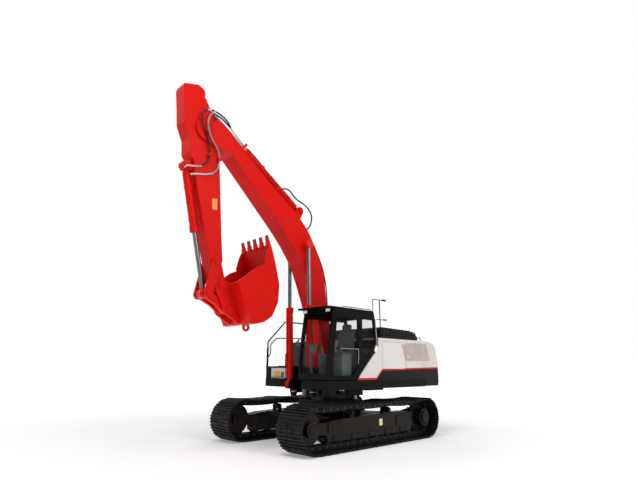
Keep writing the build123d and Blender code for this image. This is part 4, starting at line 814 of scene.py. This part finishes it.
def cab_trim():
    """Lamps under the roof lip, roof rails and hatch, grab rails, wiper and door fittings."""
    lamps = ((1.470, 0.575, 0.705), (1.420, 1.300, 1.430))
    roof, rail, glazing = CAB_ROOF + 1 * MM, CAB_ROOF + 42 * MM, CAB_LEFT + 2 * MM
    mesh = bmesh.new()
    for x, y0, y1 in lamps:
        block(mesh, (x - 0.070, x - 0.004), (y0 - 8 * MM, y1 + 8 * MM), (3.000, 3.084))
    y = 1.40
    tube(mesh, bend([(0.97, y, roof), (0.93, y, rail), (-0.10, y, rail), (-0.13, y, 3.100)], 0.03), 9 * MM)
    for x in (0.65, 0.25):
        bar(mesh, (x, y, CAB_ROOF - 2 * MM), (x, y, rail), 8 * MM, 10)
    y = 0.56
    tube(mesh, bend([(0.30, y, roof), (0.26, y, rail), (-0.06, y, rail), (-0.08, y, roof)], 0.03), 9 * MM)
    # roof hatch
    block(mesh, (0.18, 0.98), (0.68, 1.30), (CAB_ROOF - 1 * MM, CAB_ROOF + 20 * MM))
    # wiper and its motor cover
    bar(mesh, (1.536, 1.02, 1.60), (1.536, 1.02, 1.66), 0.030, 14)
    tube(mesh, [(1.545, 1.02, 1.63), (1.548, 1.10, 1.95), (1.520, 1.18, 2.25)], 6 * MM)
    tube(mesh, [(1.536, 1.06, 1.74), (1.548, 1.16, 2.05), (1.480, 1.24, 2.48)], 8 * MM)
    # grab rail on the front pillar
    tube(mesh, bend([(1.470, glazing, 1.66), (1.470, 1.545, 1.68), (1.470, 1.545, 2.30),
                     (1.470, glazing, 2.32)], 0.03), 8 * MM)
    piece("cab_fittings", "upper", "black_paint", BLACK, mesh)
    mesh = bmesh.new()
    for x, y0, y1 in lamps:
        block(mesh, (x - 0.004, x + 0.008), (y0, y1), (3.010, 3.076))
    piece("work_lamps", "upper", "cab_glass", LENS, mesh, bevel=2 * MM)
    # and one on the rear pillar, pale grey as a painted highlight line down the pillar
    mesh = bmesh.new()
    tube(mesh, bend([(-0.150, glazing, 2.30), (-0.150, 1.530, 2.31), (-0.105, 1.530, 2.94),
                     (-0.105, glazing, 2.95)], 0.03), 9 * MM)
    piece("cab_rear_rail_painted_highlight", "upper", "white_paint", PIPE_AND_HIGHLIGHT_GREY, mesh)
    mesh = bmesh.new()
    prism(mesh, [(-0.215, 2.235), (-0.150, 2.295), (-0.080, 2.155), (-0.145, 2.105)], 1.4905, 1.504)
    piece("cab_corner_lamp", "upper", "cab_glass", LENS, mesh, bevel=2 * MM)
    # rail along the door's bar and down its edge, pale grey as a painted highlight line
    mesh = bmesh.new()
    tube(mesh, [(1.335, 1.496, 2.178), (0.95, 1.505, 2.178), (0.515, 1.496, 2.178)], 7 * MM)
    tube(mesh, [(0.512, 1.496, 2.17), (0.512, 1.503, 2.00), (0.530, 1.496, 1.83)], 6 * MM)
    piece("door_rail_painted_highlight", "cab_door", "white_paint", PIPE_AND_HIGHLIGHT_GREY, mesh)


def cushion(mesh, centre, long, half, tall, lean):
    """One crowned pad whose sides pull in towards its top and bottom; a tall pad has a seam down each side."""
    grown = bmesh.new()
    bmesh.ops.create_cube(grown, size=1.0)
    bmesh.ops.subdivide_edges(grown, edges=grown.edges, cuts=5, use_grid_fill=True)
    for vert in grown.verts:
        p = vert.co * 2
        crown = 1 - 0.10 * (p.x ** 4 + p.y ** 4) / 2
        pull = 1 - 0.05 * p.z ** 2
        vert.co = Vector((p.x * long / 2 * pull, p.y * half * pull, p.z * tall / 2 * crown))
        if abs(abs(p.y) - 0.667) < 0.01 and tall > long:
            vert.co.x *= 0.90
    turn = Matrix.Translation(centre) @ Matrix.Rotation(lean, 4, "Y")
    bmesh.ops.transform(grown, matrix=turn, verts=grown.verts)
    solid = bpy.data.meshes.new("pad")
    grown.to_mesh(solid)
    grown.free()
    mesh.from_mesh(solid)


def seat():
    """Seat, back and head cushions on a moulded base."""
    middle = (CAB_LEFT + CAB_RIGHT) / 2
    mesh = bmesh.new()
    cushion(mesh, (0.640, middle, 1.935), 0.50, 0.235, 0.135, 0.0)
    cushion(mesh, (0.410, middle, 2.310), 0.13, 0.235, 0.600, -0.13)
    cushion(mesh, (0.360, middle, 2.720), 0.10, 0.125, 0.150, -0.13)
    pads = piece("seat_cushions", "upper", "seat_cloth", SEAT, mesh)
    soft = pads.modifiers.new("round", "SUBSURF")
    soft.levels = soft.render_levels = 1
    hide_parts("seat")
    mesh = bmesh.new()
    block(mesh, (0.66, 0.86), (middle - 0.17, middle + 0.17), (1.526, 1.862))
    prism(mesh, [(0.345, 2.000), (0.385, 2.000), (0.330, 2.640), (0.290, 2.640)], middle - 0.20, middle + 0.20)
    for side in (-1, 1):
        block(mesh, (0.42, 0.80), sorted((middle + side * 0.245, middle + side * 0.258)), (2.062, 2.110))
    piece("seat_base", "upper", "trim", TRIM, mesh, bevel=8 * MM)


track_fittings()
undercarriage_trim()
pin_caps()
boom_lines()
arm_lines()
cylinder_trim()
bucket_trim()
louvre_panels()
hood_trim()
tail_trim()
deck_underside()
right_side_trim()
cab_trim()
seat()


# ---------------------------------------------------------------- studio
# name, place, size in metres, watts
LAMPS = (("key", (0, 17, 11), 9, 1150), ("high", (7, 2, 15), 6, 900), ("back", (-14, -12, 16), 10, 500))


def studio():
    """White sweep, white world and large soft lamps, the main one on the cab's side."""
    half = 200
    mesh = bpy.data.meshes.new("floor")
    mesh.from_pydata([(-half, -half, 0), (half, -half, 0), (half, half, 0), (-half, half, 0)], [], [(0, 1, 2, 3)])
    floor = bpy.data.objects.new("floor", mesh)
    bpy.context.scene.collection.objects.link(floor)
    # sweep paper: matt white; it glows a little near the machine, which leaves its shadow, and more far away
    material, tree, shader, where = surface("sweep_paper", Roughness=0.9, Base_Color=linear("#f2f2f2"))
    camera_ray = add(tree, "ShaderNodeLightPath").outputs["Is Camera Ray"]
    away = add(tree, "ShaderNodeVectorMath", {0: where}, operation="LENGTH").outputs["Value"]
    lift = add(tree, "ShaderNodeMapRange",
               {"Value": away, "From Min": 4.0, "From Max": 18.0, "To Min": 0.26, "To Max": 0.80})
    glow = add(tree, "ShaderNodeEmission", {"Color": linear("#ffffff"), "Strength": lift.outputs[0]})
    bounce = add(tree, "ShaderNodeEmission", {"Color": linear("#ffffff"), "Strength": 0.60})
    extra = add(tree, "ShaderNodeMixShader", {0: camera_ray, 1: bounce.outputs[0], 2: glow.outputs[0]})
    both = add(tree, "ShaderNodeAddShader", {0: shader.outputs[0], 1: extra.outputs[0]})
    output = next(node for node in tree.nodes if node.type == "OUTPUT_MATERIAL")
    tree.links.new(both.outputs[0], output.inputs["Surface"])
    floor.data.materials.append(material)
    # the world is white where it is seen, straight, in gloss or through glass, and dimmer as a light
    world = bpy.data.worlds.new("white_room")
    world.use_nodes = True
    tree = world.node_tree
    tree.nodes.clear()
    ray = add(tree, "ShaderNodeLightPath").outputs
    seen = add(tree, "ShaderNodeMath", {0: ray["Is Camera Ray"], 1: ray["Is Glossy Ray"]}, operation="MAXIMUM")
    seen = add(tree, "ShaderNodeMath", {0: seen.outputs[0], 1: ray["Is Transmission Ray"]}, operation="MAXIMUM")
    strength = add(tree, "ShaderNodeMapRange", {"Value": seen.outputs[0], "To Min": 0.28, "To Max": 1.0})
    back = add(tree, "ShaderNodeBackground", {"Color": (1, 1, 1, 1), "Strength": strength.outputs[0]})
    add(tree, "ShaderNodeOutputWorld", {"Surface": back.outputs[0]})
    bpy.context.scene.world = world
    middle = Vector((0, 0, 3))
    for name, place, size, power in LAMPS:
        lamp = bpy.data.lights.new(name, "AREA")
        lamp.size = size
        lamp.energy = power
        holder = bpy.data.objects.new(name, lamp)
        holder.location = place
        holder.rotation_euler = (middle - Vector(place)).to_track_quat("-Z", "Y").to_euler()
        bpy.context.scene.collection.objects.link(holder)


def camera():
    """Standing low to the front left, looking up along the machine."""
    eye = (8.995 + SWING_X, 8.883, 1.744)
    yaw, pitch, roll = 3.943113, 0.272913, 0.0042427
    ahead = Vector((math.cos(yaw) * math.cos(pitch), math.sin(yaw) * math.cos(pitch), math.sin(pitch)))
    right = ahead.cross(Vector((0, 0, 1))).normalized()
    up = right.cross(ahead)
    right, up = right * math.cos(roll) + up * math.sin(roll), up * math.cos(roll) - right * math.sin(roll)
    lens = bpy.data.cameras.new("camera")
    lens.lens = 25.76
    lens.sensor_width = 36
    lens.clip_end = 500
    holder = bpy.data.objects.new("camera", lens)
    turn = Matrix((right, up, -ahead)).transposed()
    holder.matrix_world = Matrix.Translation(eye) @ turn.to_4x4()
    bpy.context.scene.collection.objects.link(holder)
    bpy.context.scene.camera = holder


studio()
camera()
bpy.context.scene.view_settings.view_transform = "Standard"
